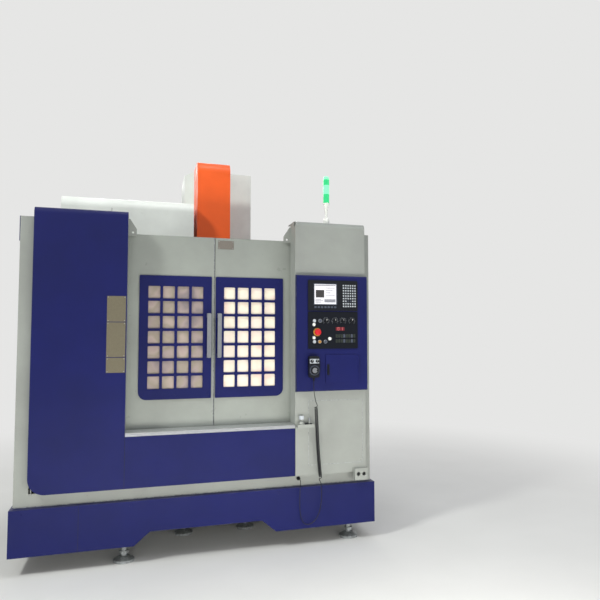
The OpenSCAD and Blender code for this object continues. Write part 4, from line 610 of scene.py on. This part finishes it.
# ---------- doors ----------
def make_door_trim(side, body):
    """Rubber nose on the meeting edge, grey on the left door and black on the right, and the lattice's screws."""
    a, b = low(f"door_{side}"), high(f"door_{side}")
    edge, inward, width, material = (b.x, -1, 3.5, PALE_RUBBER_AND_GAP_SHADE) if side == "left" else (a.x, 1, 2.7, DARK_RUBBER_AND_GAP_SHADE)
    block_piece(f"door_{side}_edge_rubber", (edge + inward * width, DOOR_Y - 2.5, a.z + 2),
        (edge + inward * 0.3, DOOR_Y, b.z - 2), material, body, "cord_jacket", bevel=1.0, segments=3)
    a, b = low(f"door_{side}_lattice"), high(f"door_{side}_lattice")
    xs = (a.x + 24, (a.x + b.x) / 2, b.x - 24)
    zs = (a.z + 26, (a.z + b.z) / 2, b.z - 26)
    handle_x = (low(f"door_{side}_handle").x + high(f"door_{side}_handle").x) / 2
    # Along the rim, so not in the middle, and not under the handle
    places = [(x, LATTICE_Y, z) for x in xs for z in zs
        if not (z == zs[1] and (x == xs[1] or abs(x - handle_x) < 30))]
    screw_heads(f"door_{side}_lattice_screws", places, FRONT, body, radius=5.5, material=NAVY)


def make_door_plate():
    """A bare plate high on the right door, near the meeting edge."""
    left = low("door_right").x + 21
    riveted_plate("door_plate", "door_plate_rivets", left, left + 106, 1957, 2014, DOOR_Y, 1.6, 6, DOOR_PLATE,
        "right_door")


def make_handle_ends(side, body):
    """Collars where the bar handle meets the blue frame."""
    a, b = low(f"door_{side}_handle"), high(f"door_{side}_handle")
    form = bmesh.new()
    for z in (a.z + 13, b.z - 13):
        add_block(form, (a.x + 1, LATTICE_Y - 2, z - 13.5), (b.x - 1, LATTICE_Y, z + 13.5), bevel=0.9)
    from_bmesh(f"door_{side}_handle_collars", form, HANDLE_STEEL, body)


# ---------- operator console ----------
def make_screen():
    """The display's page: a dark drawing window at the left, fields beside it, and a grey softkey band below."""
    a, b = low("display_screen"), high("display_screen")
    wide, tall = b.x - a.x, b.z - a.z

    def patch(name, x0, z0, x1, z1, material):
        """One field of the page, between two corners given as parts of the page's width and height."""
        block_piece(name, (a.x + x0 * wide, a.y - 0.5, a.z + z0 * tall), (a.x + x1 * wide, a.y + 0.4, a.z + z1 * tall),
            material, "frame", "screen_glass", bevel=0.15, segments=1)

    patch("screen_header", 0.02, 0.92, 0.98, 0.97, SCREEN_LINE)
    patch("screen_drawing_window", 0.07, 0.33, 0.45, 0.71, SCREEN_DARK)
    patch("screen_softkey_band", 0.46, 0.09, 0.97, 0.25, SCREEN_LINE)
    for row in range(4):
        bottom, right = 0.80 - row * 0.12, 0.93 - 0.09 * (row % 3)
        patch(f"screen_field_{row + 1}", 0.52, bottom, right, bottom + 0.025, SCREEN_LINE)
    for row in range(3):
        patch(f"screen_line_{row + 1}", 0.05, 0.22 - row * 0.07, 0.30 + 0.1 * (row % 2), 0.25 - row * 0.07, SCREEN_LINE)
    form = bmesh.new()
    rim = 5.0  # width of the bezel
    for x0, z0, x1, z1 in ((-rim, -rim, wide + rim, 0), (-rim, tall, wide + rim, tall + rim), (-rim, 0, 0, tall),
            (wide, 0, wide + rim, tall)):
        add_block(form, (a.x + x0, BEZEL_Y - 2.5, a.z + z0), (a.x + x1, BEZEL_Y + 0.1, a.z + z1), bevel=0.8)
    from_bmesh("screen_bezel", form, KEY_DARK, "frame")


def make_display_keys():
    """Cap tops on the keypad's 54 black keys, pale but for two slate ones, and slate softkeys."""
    corner = low("display_unit")
    key, margin, pitch_x, pitch_z, first_x, first_z = 13.0, 1.7, 16.6, 17.6, 241.0, 24.0
    pale, slate = bmesh.new(), bmesh.new()
    for column in range(6):
        for row in range(9):
            x, z = corner.x + first_x + column * pitch_x, corner.z + first_z + row * pitch_z
            add_block(slate if row == 2 and column in (2, 3) else pale, (x + margin, BEZEL_Y - 4.2, z + margin),
                (x + key - margin, BEZEL_Y - 2.8, z + key - margin), bevel=0.7)
    from_bmesh("display_letter_keys", pale, KEY_GREY, "frame")
    from_bmesh("display_function_keys", slate, KEY_DARK, "frame")
    form = bmesh.new()
    for i in range(7):
        x = corner.x + 43 + i * 23.1
        add_block(form, (x, BEZEL_Y - 1.6, corner.z + 18), (x + 15, BEZEL_Y + 0.1, corner.z + 30), bevel=0.7)
    from_bmesh("display_softkeys", form, KEY_DARK, "frame")


# A digit's strokes, each from one place to another on a grid of one stroke's length, from its lower left corner
STROKES = {"a": (0, 2, 1, 2), "b": (1, 1, 1, 2), "c": (1, 0, 1, 1), "d": (0, 0, 1, 0), "e": (0, 0, 0, 1),
    "f": (0, 1, 0, 2)}
DIGITS = ("abcdef", "bc")  # 0 and 1


def make_digit_display():
    """Two digits for the tool in the spindle, lit red in their red window."""
    corner = low("operator_panel")
    x, z, front = corner.x + 192, corner.z + 120, PLATE_Y - 2
    block_piece("tool_number_window", (x + 1, front - 0.3, z + 1), (x + 62, front + 0.2, z + 24), LED_WINDOW, "frame",
        "red_plastic", bevel=0.15, segments=1)
    form = bmesh.new()
    wide, tall, half = 10, 8.6, 0.9  # a stroke's length across and up, and half its thickness
    for place, strokes in enumerate(DIGITS):
        left, bottom = x + 14 + place * 24, z + 4
        for x0, z0, x1, z1 in (STROKES[stroke] for stroke in strokes):
            add_block(form, (left + x0 * wide - half, front - 0.7, bottom + z0 * tall - half),
                (left + x1 * wide + half, front + 0.2, bottom + z1 * tall + half), bevel=0.3, segments=1)
    from_bmesh("tool_number_digits", form, LED_RED, "frame")


def make_operator_keys():
    """Tops of the eight pairs of oblong keys, and the seven round buttons with their steel collars."""
    corner = low("operator_panel")
    colours = [KEY_BLACK, KEY_BLACK, KEY_BLACK, KEY_DARK, KEY_BLACK, KEY_BLACK, KEY_DARK, KEY_BLACK]
    for i, material in enumerate(colours):
        form = bmesh.new()
        for j in range(2):
            x, z = corner.x + 192 + i * 18, corner.z + 40 + j * 34
            add_block(form, (x - 0.4, PLATE_Y - 4.6, z - 0.4), (x + 13.4, PLATE_Y + 0.2, z + 22.4), bevel=1.5)
        from_bmesh(f"operator_keys_{i + 1}", form, material, "frame")
    buttons = [(43, 186, KEY_GREY), (83, 186, KEY_DARK), (40, 161, WHITE_ABS), (40, 73, WHITE_ABS), (43, 47, KEY_GREY),
        (80, 47, AMBER_ABS), (120, 47, KEY_DARK)]
    for index, (x, z, material) in enumerate(buttons, 1):
        x, z = corner.x + x, corner.z + z
        disc_piece(f"button_collar_{index}", (x, PLATE_Y + 0.1, z), FRONT, 12.5, 3.4, HANDLE_STEEL, "frame",
            "ground_steel", bevel=1.2)
        disc_piece(f"button_cap_{index}", (x, PLATE_Y - 3, z), FRONT, 9.4, 5.4, material, "frame", "white_plastic",
            bevel=1.6)


def make_knob_dials():
    """A printed ring of ticks round each selector, and the pointer line on its grip."""
    for name in ("mode_knob", "rapid_knob", "speed_knob", "feed_knob"):
        a, b = low(name), high(name)
        x, z = (a.x + b.x) / 2, (a.z + b.z) / 2
        form = bmesh.new()
        for tick in range(11):
            part = bmesh.new()
            add_block(part, (-0.7, -0.35, 18.5), (0.7, 0.0, 23.5), bevel=0.15, segments=1)
            turn = Matrix.Translation(mm(x, PLATE_Y, z)) @ Matrix.Rotation(math.radians(-130 + tick * 26), 4, "Y")
            bmesh.ops.transform(part, matrix=turn, verts=part.verts)
            merge(form, part)
        from_bmesh(f"{name}_dial", form, KEY_GREY, "frame")
        block_piece(f"{name}_pointer", (x - 1.1, a.y - 0.4, z + 2), (x + 1.1, a.y + 1.5, z + 12.4), WHITE_ABS,
            f"{name}_unit", "white_plastic", bevel=0.3, segments=1)


def make_stop_ring():
    """The flat amber ring on the panel round the emergency stop."""
    a, b = low("emergency_stop"), high("emergency_stop")
    form = bmesh.new()
    add_turned(form, [(13.5, 0), (27, 0), (27, 0.5), (26.4, 0.9), (14.1, 0.9), (13.5, 0.5)], 64,
        ((a.x + b.x) / 2, PLATE_Y, (a.z + b.z) / 2), FRONT)
    from_bmesh("emergency_stop_ring", form, AMBER_ABS, "frame")


def make_compartment_latch():
    """The black latch of the small compartment, set in its door, with a raised grip."""
    a = low("compartment_door")
    form = bmesh.new()
    add_block(form, (a.x + 9.5, PLATE_Y - 1.6, a.z + 53), (a.x + 26.5, PLATE_Y + 2.9, a.z + 126), bevel=1.4)
    add_block(form, (a.x + 13, PLATE_Y - 4.6, a.z + 64), (a.x + 23, PLATE_Y - 1, a.z + 108), bevel=1.8)
    from_bmesh("compartment_latch", form, BLACK_ABS, "compartment_door_unit")


def make_pendant_face():
    """Silver wheel face with a slate ring round the wheel, and black selector caps with pointers on a pale plate."""
    a, b = low("pendant_wheel"), high("pendant_wheel")
    x, z = (a.x + b.x) / 2, (a.z + b.z) / 2
    body_y = low("pendant").y + 9
    form = bmesh.new()
    add_turned(form, [(27.6, 0), (33, 0), (33, 0.5), (27.6, 0.5)], 64, (x, body_y, z), FRONT)
    from_bmesh("pendant_scale_ring", form, KEY_DARK, "frame")
    disc_piece("pendant_wheel_face", (x, a.y + 3.0, z), FRONT, 20, 0.4, HANDLE_STEEL, "pendant_wheel_unit",
        "ground_steel", sides=48)
    z = low("pendant").z + 130
    block_piece("pendant_plate", (x - 31, body_y - 0.6, z - 15), (x + 31, body_y + 0.2, z + 15), KEY_GREY, "frame",
        "white_plastic", bevel=0.25)
    for index, side in enumerate((-1, 1), 1):
        centre = Vector((x + side * 18, body_y - 9, z))
        disc_piece(f"pendant_selector_{index}", centre, FRONT, 10.3, 1.8, BLACK_ABS, "frame", "black_plastic",
            bevel=0.8)
        block_piece(f"pendant_pointer_{index}", centre + Vector((-1, -2.4, -1)), centre + Vector((1, -1.2, 8.6)),
            WHITE_ABS, "frame", "white_plastic", bevel=0.3, segments=1)


# ---------- small fittings ----------
def make_stack_light():
    """White base and stem, a three-part lit lens and its dome, as (radius, height) outlines on the drawing's own
    radii."""
    a, b = low("stack_light"), high("stack_light")
    x, y = (a.x + b.x) / 2, (a.y + b.y) / 2
    parts = {
        "base": (WHITE_ABS, "white_plastic", [(0, 0), (21, 0), (21, 26), (17, 36), (8, 44), (8, 66), (14, 111),
            (15, 133), (22, 137), (22, 145), (0, 145)]),
        "lower_lens": (GREEN_LIGHT, "green_lens", [(0, 145), (21, 145), (21, 206), (19.5, 208), (0, 208)]),
        "middle_lens": (PALE_LIGHT, "green_lens", [(0, 208), (19.5, 208), (21, 210), (21, 270), (19.5, 272),
            (0, 272)]),
        "upper_lens": (GREEN_LIGHT, "green_lens", [(0, 272), (19.5, 272), (21, 274), (21, 311), (0, 311)]),
        "dome": (PALE_LIGHT, "green_lens", [(0, 311), (21, 311), (21, 319), (19.5, 325), (16.5, 331), (10, 335),
            (0, 335)]),
    }
    for name, (material, slot_name, outline) in parts.items():
        form = bmesh.new()
        add_turned(form, outline, 48, (x, y, a.z), UP)
        piece = from_bmesh(f"stack_light_{name}", form, material, "frame")
        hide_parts("stack_light")


def make_air_valve():
    """Regulator on the small shelf with its pale knob, and the black air gun with its steel nozzle."""
    a, b = low("air_gun"), high("air_gun")
    x, y, z = (a.x + b.x) / 2, (a.y + b.y) / 2, a.z
    disc_piece("air_valve_knob", (x - 24, y, z + 53.6), UP, 15.6, 24.2, KEY_GREY, "frame", "white_plastic", bevel=3)
    disc_piece("air_gun_body", (x - 2, y, z + 17), RIGHT, 9.4, 47, BLACK_ABS, "frame", "black_plastic", bevel=2.5)
    disc_piece("air_gun_nozzle", (x + 30, y, z + 40), UP, 6.6, 21.4, HANDLE_STEEL, "frame", "ground_steel", bevel=2)


def make_service_sockets():
    """Black sockets in the two round holes of the service box."""
    a, b = low("service_box"), high("service_box")
    for index, side in enumerate((-1, 1), 1):
        disc_piece(f"service_socket_{index}", ((a.x + b.x) / 2 + side * 20, b.y - 13, a.z + 40), FRONT, 12.4, 14,
            DARK_RUBBER_AND_GAP_SHADE, "frame", "cord_jacket", bevel=2)


make_data_plates()
make_sheet_seams()
make_hood_seam()
make_sill_strip()
make_cover_screws()
make_door_trim("left", "left_door")
make_door_trim("right", "right_door")
make_door_plate()
make_handle_ends("left", "left_door")
make_handle_ends("right", "right_door")
make_screen()
make_display_keys()
make_digit_display()
make_operator_keys()
make_knob_dials()
make_stop_ring()
make_compartment_latch()
make_pendant_face()
make_stack_light()
make_air_valve()
make_service_sockets()


# ---------- stage ----------
BACKDROP = "#e6e6e5"
FLOOR_REACH = 30  # metres from the floor's middle to each edge
FLOOR_Z = -0.0005  # metres, a hair under the feet
FADE_FROM, FADE_TO = 1.6, 5.5  # metres from the middle, where the floor turns into the backdrop


def make_floor():
    """Pale sealed concrete under the machine, which keeps its shadow. Away from it the camera sees the backdrop's own
    tone, so that no horizon shows."""
    form = bmesh.new()
    bmesh.ops.create_grid(form, x_segments=1, y_segments=1, size=FLOOR_REACH)
    mesh = bpy.data.meshes.new("studio_floor")
    form.to_mesh(mesh)
    form.free()
    floor = bpy.data.objects.new("studio_floor", mesh)
    floor.location.z = FLOOR_Z
    material, tree = new_material("pale_sealed_concrete")
    place = add(tree, "ShaderNodeTexCoord").outputs["Object"]
    patches = add(tree, "ShaderNodeTexNoise", {"Scale": size_scale(700), "Detail": 4.0}, Vector=place)
    stops = [(0.3, "#e2e2e0"), (0.7, "#e8e8e6")]
    colour = add(tree, "ShaderNodeValToRGB", {"stops": stops}, Fac=patches.outputs["Fac"])
    concrete = add(tree, "ShaderNodeBsdfPrincipled", {"Roughness": 0.6}, Base_Color=colour.outputs["Color"])
    backdrop = add(tree, "ShaderNodeEmission", {"Color": linear(BACKDROP), "Strength": 1.0})
    away = add(tree, "ShaderNodeVectorMath", {"operation": "LENGTH"}, i0=place)
    fade = add(tree, "ShaderNodeMapRange", {"interpolation_type": "SMOOTHSTEP", "From Min": FADE_FROM,
        "From Max": FADE_TO}, Value=away.outputs["Value"])
    path = add(tree, "ShaderNodeLightPath")
    seen = add(tree, "ShaderNodeMath", {"operation": "MULTIPLY"},
        i0=fade.outputs["Result"], i1=path.outputs["Is Camera Ray"])
    blend = add(tree, "ShaderNodeMixShader", i0=seen.outputs[0], i1=concrete.outputs[0], i2=backdrop.outputs[0])
    finish_material(material, tree, blend)
    mesh.materials.append(material)
    bpy.context.scene.collection.objects.link(floor)


def make_world():
    """Pale light from all round; the camera, gloss and glass see an even pale backdrop."""
    world = bpy.data.worlds.new("studio")
    world.use_nodes = True
    tree = world.node_tree
    tree.nodes.clear()
    path = add(tree, "ShaderNodeLightPath")
    clear = add(tree, "ShaderNodeMath", {"operation": "MAXIMUM"}, i0=path.outputs["Is Camera Ray"],
        i1=path.outputs["Is Transmission Ray"])
    seen = add(tree, "ShaderNodeMath", {"operation": "MAXIMUM"}, i0=clear.outputs[0], i1=path.outputs["Is Glossy Ray"])
    lamp = add(tree, "ShaderNodeBackground", {"Color": linear("#f4f5f6"), "Strength": 0.34})
    backdrop = add(tree, "ShaderNodeBackground", {"Color": linear(BACKDROP), "Strength": 1.0})
    mix = add(tree, "ShaderNodeMixShader", i0=seen.outputs[0], i1=lamp.outputs[0], i2=backdrop.outputs[0])
    add(tree, "ShaderNodeOutputWorld", Surface=mix.outputs[0])
    bpy.context.scene.world = world


def make_lamp(name, at, towards, size, watts, code="#ffffff", glossy=True):
    """A flat rectangular lamp in metres, turned towards a place and unseen by the camera. glossy: shines in gloss."""
    data = bpy.data.lights.new(name, "AREA")
    data.shape = "RECTANGLE"
    data.size, data.size_y = size
    data.energy = watts
    data.color = linear(code)[:3]
    lamp = bpy.data.objects.new(name, data)
    lamp.location = at
    lamp.rotation_euler = (Vector(towards) - Vector(at)).to_track_quat("-Z", "Y").to_euler()
    lamp.visible_camera = False
    lamp.visible_glossy = glossy
    bpy.context.scene.collection.objects.link(lamp)


make_floor()
make_world()
make_lamp("ceiling_lamp_left", (-4.2, -3.4, 5.6), (0, -0.6, 1.5), (0.9, 0.9), 216, "#fdfffa")
make_lamp("ceiling_lamp_right", (3.6, -3.6, 4.6), (0, -1, 1.2), (2.2, 2.2), 45, "#f2f6ff")
make_lamp("overhead_lamp", (0.4, -2.0, 6.6), (0.3, -0.9, 1.0), (2.0, 2.0), 54, "#f8fbff")
make_lamp("floor_bounce", (0.2, -3.1, 0.4), (0.2, -1.0, 0.95), (3.4, 0.5), 46, "#fffdf6", glossy=False)
make_lamp("rear_lamp", (0.5, 4.5, 4.6), (0, 0.5, 1.4), (3.0, 2.0), 110)
bpy.context.scene.view_settings.view_transform = "Standard"
